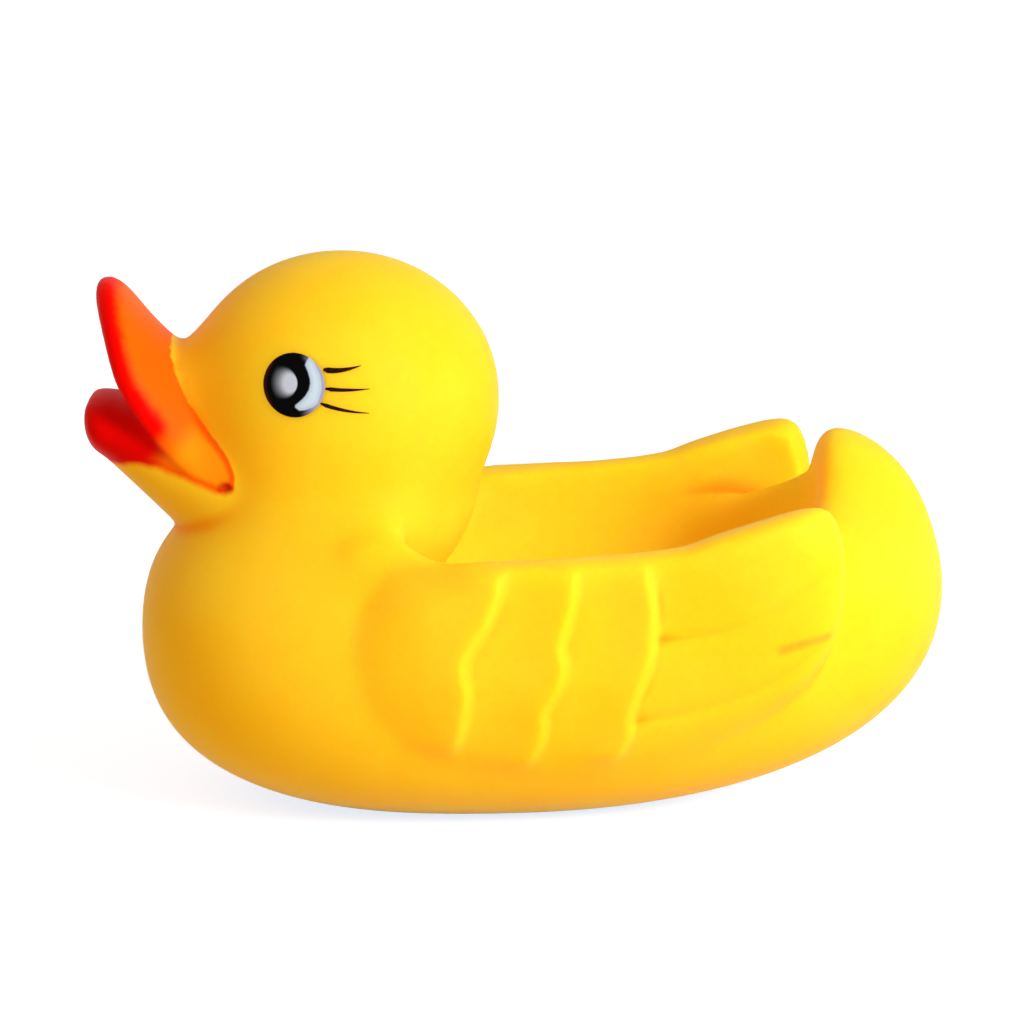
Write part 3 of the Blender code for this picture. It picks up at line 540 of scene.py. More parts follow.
# %% The node tree that presses them
def relief_tree():
    tree = bpy.data.node_groups.new("press_feathers", "GeometryNodeTree")
    face = tree.interface
    face.new_socket("Skin", in_out="INPUT", socket_type="NodeSocketGeometry")
    face.new_socket("Lines", in_out="INPUT", socket_type="NodeSocketObject")
    for name in ("Feather height", "Feather slope", "Feather edge", "Groove depth", "Groove width"):
        face.new_socket(name, in_out="INPUT", socket_type="NodeSocketFloat")
    face.new_socket("Vinyl", in_out="INPUT", socket_type="NodeSocketMaterial")
    face.new_socket("Pressed skin", in_out="OUTPUT", socket_type="NodeSocketGeometry")
    given = add(tree, "NodeGroupInput")
    lines = add(tree, "GeometryNodeObjectInfo", {"Object": given["Lines"]}, "Geometry")
    row = add(tree, "GeometryNodeInputNamedAttribute", {"Name": "row"}, 0, data_type="INT")
    x, y, z = add(tree, "ShaderNodeSeparateXYZ", {0: add(tree, "GeometryNodeInputPosition", out=0)})
    seen = add(tree, "ShaderNodeCombineXYZ", {"X": x, "Z": z}, 0)
    total = 0.0
    for number, arcs in enumerate(FEATHER_ROWS + QUILL_LINES):
        near = add(
            tree, "GeometryNodeProximity",
            {"Geometry": lines, "Group ID": row, "Sample Position": seen, "Sample Group ID": number},
            target_element="EDGES",
        )
        if number < len(FEATHER_ROWS):
            line_x = add(tree, "ShaderNodeSeparateXYZ", {0: near["Position"]}, "X")
            ahead = add(tree, "ShaderNodeMath", {0: x, 1: line_x}, 0, operation="LESS_THAN")
            reach = add(
                tree, "ShaderNodeMix", {0: ahead, 2: given["Feather edge"], 3: given["Feather slope"]}, 0
            )
            height, bluntness = given["Feather height"], 2.0
        else:
            reach, bluntness = given["Groove width"], 1.5
            height = add(tree, "ShaderNodeMath", {0: given["Groove depth"], 1: -1.0}, 0, operation="MULTIPLY")
        share = add(
            tree, "ShaderNodeMapRange",
            {"Value": near["Distance"], "From Min": 0.0, "From Max": reach, "To Min": 1.0, "To Max": 0.0}, 0,
        )
        share = add(tree, "ShaderNodeMath", {0: share, 1: bluntness}, 0, operation="POWER")
        highest, lowest = arcs[0][0][1], arcs[-1][2][1]
        fades = ((highest - 3.5, highest - 0.5), (lowest + 1.0, lowest - 2.5))
        for full, gone in fades if number < len(FEATHER_ROWS) else ():
            fade = add(
                tree, "ShaderNodeMapRange", {"Value": z, "From Min": gone * MM, "From Max": full * MM}, 0,
                interpolation_type="SMOOTHSTEP",
            )
            share = add(tree, "ShaderNodeMath", {0: share, 1: fade}, 0, operation="MULTIPLY")
        total = add(tree, "ShaderNodeMath", {0: share, 1: height, 2: total}, 0, operation="MULTIPLY_ADD")
    # Only the flanks are pressed, and only where they face outward
    side = add(tree, "ShaderNodeMath", {0: y}, 0, operation="SIGN")
    away = add(tree, "ShaderNodeMath", {0: y}, 0, operation="ABSOLUTE")
    facing = add(tree, "ShaderNodeSeparateXYZ", {0: add(tree, "GeometryNodeInputNormal", out=0)}, "Y")
    facing = add(tree, "ShaderNodeMath", {0: facing, 1: side}, 0, operation="MULTIPLY")
    for value, low, high in ((facing, 0.15, 0.5), (away, 21.0 * MM, 27.0 * MM)):
        fade = add(
            tree, "ShaderNodeMapRange", {"Value": value, "From Min": low, "From Max": high}, 0,
            interpolation_type="SMOOTHSTEP",
        )
        total = add(tree, "ShaderNodeMath", {0: total, 1: fade}, 0, operation="MULTIPLY")
    push = add(tree, "ShaderNodeMath", {0: total, 1: side}, 0, operation="MULTIPLY")
    offset = add(tree, "ShaderNodeCombineXYZ", {"Y": push}, 0)
    moved = add(tree, "GeometryNodeSetPosition", {"Geometry": given["Skin"], "Offset": offset}, 0)
    whole = add(tree, "GeometryNodeRealizeInstances", {"Geometry": moved}, 0)
    dressed = add(tree, "GeometryNodeSetMaterial", {"Geometry": whole, "Material": given["Vinyl"]}, 0)
    add(tree, "NodeGroupOutput", {0: dressed})
    return tree


def set_inputs(modifier, values):
    """A Geometry Nodes input is set by its socket's identifier."""
    for item in modifier.node_group.interface.items_tree:
        if item.in_out == "INPUT" and item.name in values:
            modifier[item.identifier] = values[item.name]


# %% Press both wings, then relax the new edges a little
EDGE_PASSES = 3
yellow_vinyl = bpy.data.materials.new("yellow_vinyl_rotomoulded")
pressing = skin.modifiers.new("Feathers", "NODES")
pressing.node_group = relief_tree()
set_inputs(pressing, {
    "Lines": feather_lines, "Feather height": 1.3 * MM, "Feather slope": 10.0 * MM,
    "Feather edge": 1.3 * MM, "Groove depth": 0.5 * MM, "Groove width": 1.7 * MM, "Vinyl": yellow_vinyl,
})
relax(skin, EDGE_PASSES)
skin = frozen(skin, "feathered_skin")
bpy.data.objects.remove(feather_lines)
print("feathered skin:", len(skin.data.vertices), "points")

# %% [markdown]
# ## The foot and the whistle's seat
# The keel is cut flat so that the duck stands, and the flat carries a round recess with a hole for
# the whistle. Only its mouth can be seen, so the hole is blind here.

# %% Cut the base
WHISTLE_X = -6.0
SEAT_DIAMETER, SEAT_DEPTH = 11.0, 13.0
RECESS_DIAMETER, RECESS_DEPTH = 16.6, 1.4


def turned_plug(name, diameter, bottom, top):
    mesh = bmesh.new()
    radius = diameter / 2 * MM
    bmesh.ops.create_cone(
        mesh, cap_ends=True, segments=72, radius1=radius, radius2=radius, depth=(top - bottom) * MM
    )
    bmesh.ops.translate(mesh, vec=(WHISTLE_X * MM, 0, (bottom + top) / 2 * MM), verts=mesh.verts)
    return form_from_mesh(name, mesh)


cut = bmesh.new()
cut.from_mesh(skin.data)
whole = cut.verts[:] + cut.edges[:] + cut.faces[:]
open_edge = bmesh.ops.bisect_plane(
    cut, geom=whole, plane_co=(0, 0, 0), plane_no=(0, 0, -1), clear_outer=True
)["geom_cut"]
bmesh.ops.contextual_create(cut, geom=[e for e in open_edge if isinstance(e, bmesh.types.BMEdge)])
cut.to_mesh(skin.data)
cut.free()
combine(skin, turned_plug("recess_cutter", RECESS_DIAMETER, -2.0, RECESS_DEPTH), "DIFFERENCE")
combine(skin, turned_plug("seat_cutter", SEAT_DIAMETER, -2.0, SEAT_DEPTH), "DIFFERENCE")
SKIN_TRIANGLES = 190000
skin = frozen(skin, "duck_skin")
before = count_triangles(skin)
thinning = skin.modifiers.new("Thin", "DECIMATE")
thinning.ratio = min(1.0, SKIN_TRIANGLES / before)
skin = frozen(skin, "duck_skin")
skin.data.shade_smooth()
print("duck skin:", before, "triangles, thinned to", count_triangles(skin))

# %% [markdown]
# ## Where the paint lies and where shade is painted
# The bill is masked and sprayed. The mask's edge follows the object, not the camera, so each point
# of the skin is told how far inside the mask it lies and how far above the upper lip's edge, both
# in the side view. It is also told how deep it lies in a crease, and the material paints shade
# there: a darker orange base colour that stands in for light bouncing around in soft vinyl. The
# material turns all of that into colour.

# %% Distances in the side view
PAINT_MASK = (
    (-51.2, 90.0), (-51.2, 73.5), (-51.1, 71.4), (-51.2, 70.2), (-50.8, 68.6), (-49.7, 66.0),
    (-48.3, 63.3), (-45.8, 60.2), (-44.1, 57.9), (-42.5, 55.9), (-41.5, 54.6), (-40.7, 52.6),
    (-40.9, 50.6), (-42.3, 49.5), (-44.2, 50.1), (-46.8, 51.1), (-49.5, 52.2), (-52.1, 52.9),
    (-55.5, 53.4), (-58.5, 53.2), (-72.0, 50.0), (-72.0, 90.0),
)
LIP_EDGE = (
    (-41.5, 50.8), (-43.1, 51.2), (-46.8, 52.6), (-49.7, 54.5), (-51.9, 56.8), (-54.1, 59.7), (-56.3, 62.4),
    (-58.2, 65.3), (-59.7, 70.0), (-60.9, 74.5), (-61.9, 79.0), (-62.3, 83.0),
)
SCUFF = ((38.9, 31.3), (42.1, 32.2), (45.5, 32.8))


def distance_to_line(points, line):
    best = np.full(len(points), np.inf)
    for start, end in zip(np.array(line[:-1]), np.array(line[1:])):
        run = end - start
        share = np.clip(((points - start) @ run) / (run @ run), 0, 1)
        gap = points - (start + share[:, None] * run)
        best = np.minimum(best, np.hypot(gap[:, 0], gap[:, 1]))
    return best


def signed_distance(points, outline):
    """Distance to a closed outline, above 0 inside it."""
    inside = np.zeros(len(points), bool)
    for start, end in zip(outline, outline[1:] + outline[:1]):
        if start[1] != end[1]:
            crossing = start[0] + (points[:, 1] - start[1]) / (end[1] - start[1]) * (end[0] - start[0])
            spans = (start[1] > points[:, 1]) != (end[1] > points[:, 1])
            inside ^= spans & (points[:, 0] < crossing)
    distance = distance_to_line(points, outline + outline[:1])
    return np.where(inside, distance, -distance)


# %% Depth in a crease
def crease_depth(mesh, points, normals, passes=30):
    """How far each point sinks below a smoothed copy of the skin. Above 0 in hollows and grooves."""
    ends = np.empty(len(mesh.edges) * 2, int)
    mesh.edges.foreach_get("vertices", ends)
    ends = ends.reshape(-1, 2)
    here, there = np.concatenate([ends[:, 0], ends[:, 1]]), np.concatenate([ends[:, 1], ends[:, 0]])
    count = np.bincount(here, minlength=len(points))
    smooth = points.copy()
    for _ in range(passes):
        for axis in range(3):
            smooth[:, axis] = np.bincount(here, smooth[there, axis], len(points)) / count
    return ((smooth - points) * normals).sum(1)


# %% Tell each point of the skin
points = points_of(skin.data)
normals = np.empty(points.size)
skin.data.vertex_normals.foreach_get("vector", normals)
normals = normals.reshape(-1, 3)
side_view = points[:, [0, 2]]
near_bill = (points[:, 0] < -30) & (points[:, 2] > 40)
FAR = 20.0
mask_distance, lip_distance = np.full(len(points), -FAR), np.full(len(points), FAR)
mask_distance[near_bill] = signed_distance(side_view[near_bill], PAINT_MASK)
above_lips = LIP_EDGE + ((-50.0, 90.0), (-30.0, 90.0), (-30.0, 50.0))
lip_distance[near_bill] = signed_distance(side_view[near_bill], above_lips)
outer_near_face = (points[:, 1] < 0) & (normals[:, 1] < 0)
scuff_distance = np.where(outer_near_face, distance_to_line(side_view, SCUFF), FAR)
crease = crease_depth(skin.data, points, normals)
for name, values in (("inside_mask_mm", mask_distance), ("above_lip_mm", lip_distance),
                     ("from_scuff_mm", scuff_distance), ("crease_mm", crease)):
    keep_at_points(skin.data, name, values)
    print(name, "from", round(float(values.min()), 2), "to", round(float(values.max()), 2))

# %% [markdown]
# ## Eyes and lashes
# They are pad-printed: a soft pad presses flat artwork onto the curved head from the side. The
# node tree does just that. Every point of a flat drawing is cast against the skin along Y. Its
# face layer is lifted by the thickness of the ink and its back layer sinks in, which leaves a
# closed film that follows the head. Shrinkwrap would do it too, but pulls the drawing askew.

# %% Flat drawings, in mm in the side view
def drawing(name, rows, ringed):
    """Faces between rows of (x, z) points, with a back layer behind them. Ringed rows close up."""
    mesh = bmesh.new()
    lifted = mesh.verts.layers.float.new("lifted")
    loops = [[mesh.verts.new((x * MM, 0, z * MM)) for x, z in row] for row in rows]
    count = len(rows[0])
    for before, after in zip(loops, loops[1:]):
        for i in range(count if ringed else count - 1):
            j = (i + 1) % count
            mesh.faces.new((before[i], before[j], after[j], after[i]))
    if ringed:
        mesh.faces.new(loops[0])
    front = mesh.verts[:]
    bmesh.ops.extrude_face_region(mesh, geom=mesh.faces[:], use_keep_orig=True)
    for vert in front:
        vert[lifted] = 1.0
    return form_from_mesh(name, mesh)


EYE_X, EYE_Z, EYE_RADIUS = -31.7, 67.0, 4.55
EYE_RINGS, EYE_RING_POINTS, LASH_ROWS = 42, 120, 40
LASHES = (
    (((-27.4, 69.4), (-26.1, 69.1), (-24.2, 69.2), (-21.9, 69.9)), 0.36),
    (((-27.1, 66.7), (-25.6, 66.5), (-23.2, 66.4), (-20.6, 66.6)), 0.25),
    (((-27.8, 64.6), (-26.3, 64.0), (-23.8, 63.3), (-20.7, 63.1)), 0.25),
)


def eye_drawing(name):
    rows = []
    for radius in np.linspace(0.1, EYE_RADIUS, EYE_RINGS):
        turns = [2 * math.pi * k / EYE_RING_POINTS for k in range(EYE_RING_POINTS)]
        rows.append([(EYE_X + radius * math.cos(t), EYE_Z + radius * math.sin(t)) for t in turns])
    return drawing(name, rows, ringed=True)


def lash_drawing(name, pulls, half_width):
    """A stroke along a cubic curve, full near the eye and drawn out to a fine end."""
    a, b, c, d = (np.array(p) for p in pulls)
    rows = []
    for t in np.linspace(0, 1, LASH_ROWS):
        at = a * (1 - t) ** 3 + 3 * b * t * (1 - t) ** 2 + 3 * c * t**2 * (1 - t) + d * t**3
        run = (b - a) * (1 - t) ** 2 + (c - b) * 2 * t * (1 - t) + (d - c) * t**2
        across = np.array((-run[1], run[0])) / np.hypot(*run)
        width = half_width * (1 - t**2.2) * min(1.0, 0.35 + 4 * t) + 0.04
        rows.append([at + across * width * k for k in (-1, -0.33, 0.33, 1)])
    return drawing(name, rows, ringed=False)


# %% The printing tree
def printing_tree():
    tree = bpy.data.node_groups.new("pad_print", "GeometryNodeTree")
    face = tree.interface
    face.new_socket("Drawing", in_out="INPUT", socket_type="NodeSocketGeometry")
    face.new_socket("Skin", in_out="INPUT", socket_type="NodeSocketObject")
    for name in ("Side", "Ink height", "Ink depth"):
        face.new_socket(name, in_out="INPUT", socket_type="NodeSocketFloat")
    face.new_socket("Ink", in_out="INPUT", socket_type="NodeSocketMaterial")
    face.new_socket("Print", in_out="OUTPUT", socket_type="NodeSocketGeometry")
    given = add(tree, "NodeGroupInput")
    target = add(tree, "GeometryNodeObjectInfo", {"Object": given["Skin"]}, "Geometry")
    x, _, z = add(tree, "ShaderNodeSeparateXYZ", {0: add(tree, "GeometryNodeInputPosition", out=0)})
    far = add(tree, "ShaderNodeMath", {0: given["Side"], 1: 60 * MM}, 0, operation="MULTIPLY")
    start = add(tree, "ShaderNodeCombineXYZ", {"X": x, "Y": far, "Z": z}, 0)
    inward = add(tree, "ShaderNodeMath", {0: given["Side"], 1: -1.0}, 0, operation="MULTIPLY")
    aim = add(tree, "ShaderNodeCombineXYZ", {"Y": inward}, 0)
    cast = add(
        tree, "GeometryNodeRaycast",
        {"Target Geometry": target, "Source Position": start, "Ray Direction": aim, "Ray Length": 0.1},
    )
    lifted = add(tree, "GeometryNodeInputNamedAttribute", {"Name": "lifted"}, 0, data_type="FLOAT")
    sunk = add(tree, "ShaderNodeMath", {0: given["Ink depth"], 1: -1.0}, 0, operation="MULTIPLY")
    level = add(tree, "ShaderNodeMix", {0: lifted, 2: sunk, 3: given["Ink height"]}, 0)
    lift = add(tree, "ShaderNodeVectorMath", {0: cast["Hit Normal"], "Scale": level}, 0, operation="SCALE")
    on_skin = add(tree, "ShaderNodeVectorMath", {0: cast["Hit Position"], 1: lift}, 0, operation="ADD")
    pressed = add(tree, "GeometryNodeSetPosition", {"Geometry": given["Drawing"], "Position": on_skin}, 0)
    whole = add(tree, "GeometryNodeRealizeInstances", {"Geometry": pressed}, 0)
    inked = add(tree, "GeometryNodeSetMaterial", {"Geometry": whole, "Material": given["Ink"]}, 0)
    add(tree, "NodeGroupOutput", {0: inked})
    return tree


pad_print = printing_tree()
INK_HEIGHT, INK_DEPTH = 0.04, 0.05


def printed(flat, side, ink):
    pressing = flat.modifiers.new("Print", "NODES")
    pressing.node_group = pad_print
    set_inputs(pressing, {
        "Skin": skin, "Side": float(side), "Ink": ink,
        "Ink height": INK_HEIGHT * MM, "Ink depth": INK_DEPTH * MM,
    })
    film = frozen(flat, flat.name)
    mesh = bmesh.new()
    mesh.from_mesh(film.data)
    bmesh.ops.recalc_face_normals(mesh, faces=mesh.faces)
    mesh.to_mesh(film.data)
    mesh.free()
    film.data.shade_smooth()
    return film


eye_ink = bpy.data.materials.new("eye_pad_printed_ink")
lash_ink = bpy.data.materials.new("lash_pad_printed_ink")
prints = []
for side, hand in ((-1, "right"), (1, "left")):
    prints.append(printed(eye_drawing(f"eye_{hand}"), side, eye_ink))
    for number, (pulls, half_width) in enumerate(LASHES, 1):
        prints.append(printed(lash_drawing(f"lash_{hand}_{number}", pulls, half_width), side, lash_ink))
for film in prints:
    reach = [round(float(v), 1) for v in film.dimensions / MM]
    print(film.name, "is", reach, "mm")

# %% [markdown]
# ## Materials
# Every colour below is written as sRGB hex, as a colour picker shows it, and one function turns it
# into the linear values that the shaders work in.

# %% Colours and a fresh shader
def linear(hex_colour):
    """#RRGGBB to linear RGBA."""
    channels = [int(hex_colour[i:i + 2], 16) / 255 for i in (1, 3, 5)]
    return [c / 12.92 if c <= 0.04045 else ((c + 0.055) / 1.055) ** 2.4 for c in channels] + [1.0]


def start_shader(material, **settings):
    """Clears the tree and returns it with its Principled shader's inputs and Object coordinates."""
    material.use_nodes = True
    tree = material.node_tree
    tree.nodes.clear()
    shader = tree.nodes.new("ShaderNodeBsdfPrincipled")
    add(tree, "ShaderNodeOutputMaterial", {"Surface": shader.outputs[0]})
    for name, value in settings.items():
        shader.inputs[name.replace("_", " ")].default_value = value
    return tree, shader.inputs, add(tree, "ShaderNodeTexCoord", out="Object")


def overlaid(tree, under, coats):
    """Lays coats of colour over each other. Each is (value, none at, full at, most, colour)."""
    for value, none_at, full_at, most, colour in coats:
        share = add(
            tree, "ShaderNodeMapRange",
            {"Value": value, "From Min": none_at, "From Max": full_at, "To Max": most}, 0,
            interpolation_type="SMOOTHSTEP",
        )
        colour = linear(colour) if isinstance(colour, str) else colour
        under = add(tree, "ShaderNodeMix", {0: share, 6: under, 7: colour}, 2, data_type="RGBA")
    return under


# %% [markdown]
# ## Vinyl and spray paint
# Soft PVC is coloured all through and lets light in a few millimetres, so shaded creases glow
# orange instead of going grey: that is subsurface scattering, long in red and short in blue. The
# creases also get a darker orange base colour, which is painted shade. The mould was sand-blasted,
# which leaves a satin skin with a fine grain. The bill's paint is sprayed against a mask: orange
# all over, red where the gun lingered on the lips, thin at the mouth's corners, and a little
# blurred where the mask stood off. The dimple at each mouth corner is painted dark red as shade.

# %% The skin's material
# The darker orange laid into creases is painted shade
VINYL, VINYL_SHADE, VINYL_CREASE_SHADE = "#FFD82C", "#FFD422", "#FFA000"
BILL_ORANGE, BILL_RED, LOWER_RED = "#FF6806", "#EE0300", "#DA0200"
# The dark red at the mouth-corner dimples is painted shade
THIN_SPRAY, SPRAY_RIM, DIMPLE_SHADE_RED, SCUFF_BROWN = "#FFA012", "#F06A00", "#C02800", "#B98A30"

tree, vinyl, where = start_shader(
    yellow_vinyl, IOR=1.5, Specular_IOR_Level=0.03, Subsurface_Scale=0.016,
    Subsurface_Radius=(1.0, 0.25, 0.06),
)
inside, above_lip, scuff, crease = (
    add(tree, "ShaderNodeAttribute", out="Fac", attribute_name=name)
    for name in ("inside_mask_mm", "above_lip_mm", "from_scuff_mm", "crease_mm")
)
x, _, z = add(tree, "ShaderNodeSeparateXYZ", {0: where})
cloudy, wavering, patchy, speckle, grain = (
    add(tree, "ShaderNodeTexNoise", {"Vector": where, "Scale": 1 / (size * MM), "Detail": detail}, 0)
    for size, detail in ((14.0, 2.0), (5.0, 1.0), (1.6, 3.0), (0.5, 2.0), (0.35, 3.0))
)

# The mask stood a little off the skin, so its edge wavers by a few tenths of a millimetre
edge = add(tree, "ShaderNodeMath", {0: wavering, 1: 0.9, 2: inside}, 0, operation="MULTIPLY_ADD")
edge = add(tree, "ShaderNodeMath", {0: patchy, 1: 0.5, 2: edge}, 0, operation="MULTIPLY_ADD")
edge = add(tree, "ShaderNodeMath", {0: edge, 1: 0.7}, 0, operation="SUBTRACT")
under_lip = add(tree, "ShaderNodeMapRange", {"Value": above_lip, "From Min": 0.3, "From Max": -0.8}, 0)
blur = add(tree, "ShaderNodeMapRange", {"Value": under_lip, "To Min": 0.22, "To Max": 0.7}, 0)
sharp = add(tree, "ShaderNodeMath", {0: edge, 1: blur}, 0, operation="DIVIDE")

# Near the mouth's corner the gun only passed once, and the paint gathers at the mask's edge
lip_wander = add(tree, "ShaderNodeMath", {0: patchy, 1: 0.8, 2: above_lip}, 0, operation="MULTIPLY_ADD")
along = add(tree, "ShaderNodeMath", {0: x, 1: z}, 0, operation="SUBTRACT")
to_corner, off_band, off_lower = (
    add(tree, "ShaderNodeMapRange", {"Value": along, "From Min": low * MM, "From Max": high * MM}, 0,
        interpolation_type="SMOOTHSTEP")
    for low, high in ((-110.5, -101.5), (-107.0, -112.5), (-103.5, -108.0))
)
thin = add(tree, "ShaderNodeMapRange", {"Value": edge, "From Min": 0.2, "From Max": 1.7}, 0,
           interpolation_type="SMOOTHSTEP")
thin = add(tree, "ShaderNodeMath", {0: thin, 1: to_corner}, 0, operation="MULTIPLY")
rim = add(tree, "ShaderNodeMath", {0: to_corner, 1: under_lip}, 0, operation="MULTIPLY")
band = add(tree, "ShaderNodeMapRange", {"Value": lip_wander, "From Min": 4.6, "From Max": 1.8}, 0,
           interpolation_type="SMOOTHSTEP")
band = add(tree, "ShaderNodeMath", {0: band, 1: off_band}, 0, operation="MULTIPLY")
lower = add(tree, "ShaderNodeMath", {0: under_lip, 1: off_lower}, 0, operation="MULTIPLY")
seen = add(tree, "ShaderNodeCombineXYZ", {"X": x, "Z": z}, 0)
to_dimple = add(tree, "ShaderNodeVectorMath", {0: seen, 1: (DIMPLE[0] * MM, 0, DIMPLE[1] * MM)}, "Value",
                operation="DISTANCE")

bill = overlaid(tree, linear(BILL_ORANGE), (
    (band, 0.0, 1.0, 1.0, BILL_RED),
    (lower, 0.0, 1.0, 1.0, LOWER_RED),
    (thin, 0.0, 1.0, 0.85, THIN_SPRAY),
    (rim, 0.0, 1.0, 0.7, SPRAY_RIM),
    # Painted shade: the mouth-corner dimples are darkened to a deep red
    (to_dimple, 1.7 * MM, 0.5 * MM, 0.9, DIMPLE_SHADE_RED),
))
colour = overlaid(tree, linear(VINYL), (
    (cloudy, 0.35, 0.65, 1.0, VINYL_SHADE),
    # Painted shade: the deeper the crease, the more the base colour turns darker orange
    (crease, 0.12, 0.7, 0.7, VINYL_CREASE_SHADE),
    (scuff, 1.2, 0.0, 0.5, SCUFF_BROWN),
    (sharp, -1.0, 1.0, 1.0, bill),
))
tree.links.new(colour, vinyl["Base Color"])
covered = add(
    tree, "ShaderNodeMapRange", {"Value": sharp, "From Min": -1.0, "To Min": 1.0, "To Max": 0.15}, 0
)
tree.links.new(covered, vinyl["Subsurface Weight"])
gloss = add(tree, "ShaderNodeMapRange", {"Value": speckle, "To Min": 0.42, "To Max": 0.5}, 0)
tree.links.new(gloss, vinyl["Roughness"])
bump = add(tree, "ShaderNodeBump", {"Height": grain, "Strength": 0.25, "Distance": 0.03 * MM}, 0)
tree.links.new(bump, vinyl["Normal"])
print("vinyl and paint take", len(tree.nodes), "nodes")

# %% [markdown]
# ## Printing inks
# Two-part pad ink dries to a thin coat. The eye is printed black first. A grey-white crescent and
# a round highlight follow, each from its own outline, so the film's points are told how far
# inside each outline they lie. A pale rim is left where the black disc stops short of the white.

# %% The eye's outlines, in mm from its centre
CRESCENT = (
    (2.2, 4.1), (1.75, 3.4), (1.6, 2.95), (2.05, 2.0), (2.35, 1.0), (2.4, 0.4), (2.2, -0.5), (1.7, -1.35),
    (1.15, -1.95), (0.2, -2.75), (0.15, -3.1), (0.8, -3.55), (1.7, -3.45), (2.75, -3.05), (3.55, -2.4),
    (4.05, -0.7), (4.1, 0.5), (3.8, 1.8), (3.1, 3.2), (2.6, 3.9),
)
SHINE = tuple(
    (1.35 * math.cos(t) - 0.85, 1.65 * math.sin(t) + 0.35)
    for t in np.linspace(0, 2 * math.pi, 24)[:-1]
)
for film in prints:
    if film.name.startswith("eye"):
        flat = points_of(film.data)[:, [0, 2]] - (EYE_X, EYE_Z)
        keep_at_points(film.data, "crescent_mm", signed_distance(flat, CRESCENT))
        keep_at_points(film.data, "shine_mm", signed_distance(flat, SHINE))
        keep_at_points(film.data, "edge_mm", EYE_RADIUS - np.hypot(flat[:, 0], flat[:, 1]))

# %% The eye's and the lashes' inks
tree, ink, where = start_shader(eye_ink, IOR=1.5, Roughness=0.5, Specular_IOR_Level=0.03)
crescent, shine, edge = (
    add(tree, "ShaderNodeAttribute", out="Fac", attribute_name=name)
    for name in ("crescent_mm", "shine_mm", "edge_mm")
)
x = add(tree, "ShaderNodeSeparateXYZ", {0: where}, "X")
rearward = add(tree, "ShaderNodeMapRange", {
    "Value": x, "From Min": (EYE_X + 0.8) * MM, "From Max": (EYE_X + 3.6) * MM}, 0)
rim = add(tree, "ShaderNodeMapRange", {"Value": edge, "From Min": 0.9, "From Max": 0.5}, 0)
rim = add(tree, "ShaderNodeMath", {0: rim, 1: rearward}, 0, operation="MULTIPLY")
soft = add(tree, "ShaderNodeMapRange", {
    "Value": x, "From Min": (EYE_X - 2.6) * MM, "From Max": (EYE_X + 0.2) * MM,
    "To Min": -1.4, "To Max": -0.1}, 0)
shine = add(tree, "ShaderNodeMath", {0: shine, 1: soft}, 0, operation="DIVIDE")
frontward = add(tree, "ShaderNodeMapRange", {
    "Value": x, "From Min": (EYE_X - 1.5) * MM, "From Max": (EYE_X - 3.5) * MM}, 0)
frontward = add(tree, "ShaderNodeMath", {0: frontward, 1: edge}, 0, operation="SUBTRACT")
shown = overlaid(tree, linear("#020203"), (
    (frontward, 0.35, 0.9, 1.0, "#3C0C02"),
    (rim, 0.0, 1.0, 1.0, "#98A4CC"),
    (crescent, -0.12, 0.16, 1.0, "#AECEF6"),
    (crescent, 0.2, 0.7, 1.0, "#BCDEFF"),
    (shine, 1.0, -1.0, 1.0, "#B8D0F4"),
))
tree.links.new(shown, ink["Base Color"])

tree, ink, where = start_shader(lash_ink, IOR=1.5, Roughness=0.5, Specular_IOR_Level=0.05)
thinned = add(tree, "ShaderNodeTexNoise", {"Vector": where, "Scale": 1 / (0.4 * MM)}, 0)
shown = overlaid(tree, linear("#0A0504"), ((thinned, 0.45, 0.75, 1.0, "#3A1408"),))
tree.links.new(shown, ink["Base Color"])

# %% [markdown]
# ## The whistle
# Its three parts are injection-moulded white polythene: waxy, slightly see-through at its edges,
# with a faint gate mark's haze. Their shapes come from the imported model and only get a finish.

# %% White polythene
white_polythene = bpy.data.materials.new("white_polythene_moulded")
tree, wax, where = start_shader(
    white_polythene, IOR=1.51, Subsurface_Weight=0.25, Subsurface_Scale=0.0015,
    Subsurface_Radius=(1.0, 0.95, 0.9),
)
haze, rub = (
    add(tree, "ShaderNodeTexNoise", {"Vector": where, "Scale": 1 / (size * MM)}, 0) for size in (3.0, 0.8)
)
tree.links.new(overlaid(tree, linear("#F1EFE8"), ((haze, 0.3, 0.7, 1.0, "#E6E3D9"),)), wax["Base Color"])
dull = add(tree, "ShaderNodeMapRange", {"Value": rub, "To Min": 0.3, "To Max": 0.46}, 0)
tree.links.new(dull, wax["Roughness"])
for name in ("whistle_barrel", "reed_block", "reed"):
    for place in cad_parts[name].material_slots:
        place.material = white_polythene

# %% [markdown]
# ## Floor, light and camera
# The duck stands on a white sweep in a warm, bright room, with one soft lamp to its right. More
# lamps would fill the shade on the breast. Floor and room are white to the camera alone, so that
# they throw no more light on the duck than a pale table and walls would.

# %% The stage
def white_to(tree):
    """1 for the rays that show the background: those of the camera, of gloss and of glass."""
    rays = add(tree, "ShaderNodeLightPath")
    seen = rays["Is Camera Ray"]
    for other in (rays["Is Glossy Ray"], rays["Is Transmission Ray"]):
        seen = add(tree, "ShaderNodeMath", {0: seen, 1: other}, 0, operation="MAXIMUM")
    return seen


ROOM_COLOUR, ROOM_STRENGTH = "#FFD09A", 0.62
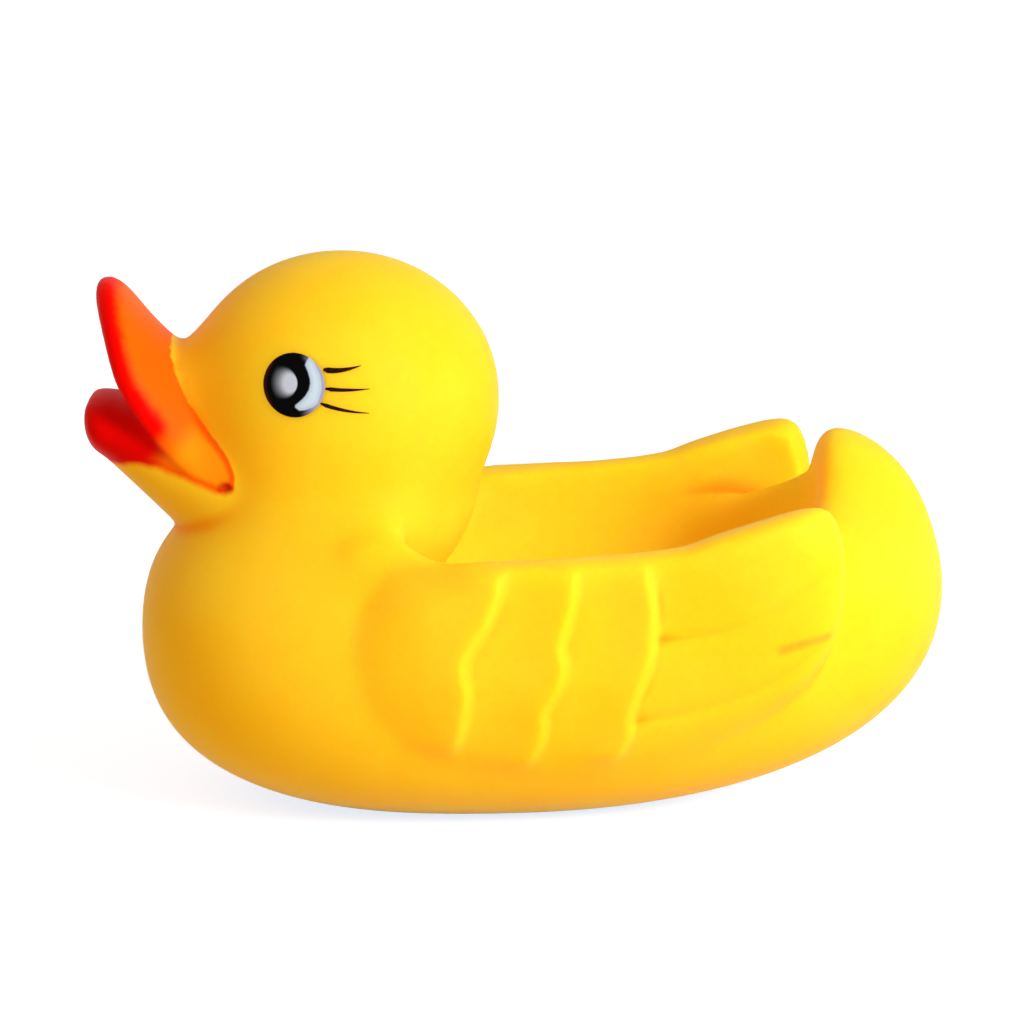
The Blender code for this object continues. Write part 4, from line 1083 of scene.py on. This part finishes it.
# What the floor shows of the light on it, so that shadows stay visible. A glow makes up the rest
FLOOR_OWN, FLOOR_WHITE = (0.5, 0.6, 0.75), 1.02
mesh = bmesh.new()
bmesh.ops.create_circle(mesh, cap_ends=True, segments=96, radius=4.0)
floor = form_from_mesh("floor", mesh)
floor.location.z = -0.0002
sweep = bpy.data.materials.new("white_paper_sweep")
sweep.use_nodes = True
tree = sweep.node_tree
tree.nodes.clear()
seen = white_to(tree)
paper = add(tree, "ShaderNodeBsdfDiffuse", {"Color": linear("#EAD2A8")}, 0)
lit = add(tree, "ShaderNodeBsdfDiffuse", {"Color": (*FLOOR_OWN, 1)}, 0)
missing = [FLOOR_WHITE - own * ROOM_STRENGTH * c for own, c in zip(FLOOR_OWN, linear(ROOM_COLOUR))]
glow = add(tree, "ShaderNodeEmission", {"Color": (*missing, 1), "Strength": 1.0}, 0)
bright = add(tree, "ShaderNodeAddShader", {0: lit, 1: glow}, 0)
shown = add(tree, "ShaderNodeMixShader", {0: seen, 1: paper, 2: bright}, 0)
add(tree, "ShaderNodeOutputMaterial", {0: shown})
floor.data.materials.append(sweep)

# %% The lamp and the white room
LAMP_PLACE, LAMP_AIM = Vector((0.33, -0.37, 0.26)), Vector((0, 0, 0.04))
LAMP_SIZE, LAMP_WATTS = 0.2, 2.75
lamp = placed("key", bpy.data.lights.new("key", "AREA"))
lamp.data.size, lamp.data.energy = LAMP_SIZE, LAMP_WATTS
lamp.location = LAMP_PLACE
lamp.rotation_euler = (LAMP_AIM - LAMP_PLACE).to_track_quat("-Z", "Y").to_euler()
room = bpy.data.worlds.new("white_room")
bpy.context.scene.world = room
room.use_nodes = True
tree = room.node_tree
tree.nodes.clear()
dim = add(tree, "ShaderNodeBackground", {"Color": linear(ROOM_COLOUR), "Strength": ROOM_STRENGTH}, 0)
full = add(tree, "ShaderNodeBackground", {"Color": (1, 1, 1, 1), "Strength": 1.0}, 0)
shown = add(tree, "ShaderNodeMixShader", {0: white_to(tree), 1: dim, 2: full}, 0)
add(tree, "ShaderNodeOutputWorld", {0: shown})

# %% The camera, twelve degrees above the horizon and square to the duck's side
ELEVATION, DISTANCE, LENS = math.radians(12), 0.6, 138.4
AIM = Vector((0.0001, 0, 0.0436))
away = Vector((0, -math.cos(ELEVATION), math.sin(ELEVATION)))
camera = placed("camera", bpy.data.cameras.new("camera"))
camera.data.lens = LENS
camera.location = AIM + away * DISTANCE
camera.rotation_euler = (-away).to_track_quat("-Z", "Y").to_euler()
bpy.context.scene.camera = camera
bpy.context.scene.view_settings.view_transform = "Standard"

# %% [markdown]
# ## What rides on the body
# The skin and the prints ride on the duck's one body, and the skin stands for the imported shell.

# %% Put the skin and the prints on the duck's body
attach(skin, "root")
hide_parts("duck_shell")
for film in prints:
    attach(film, "root")
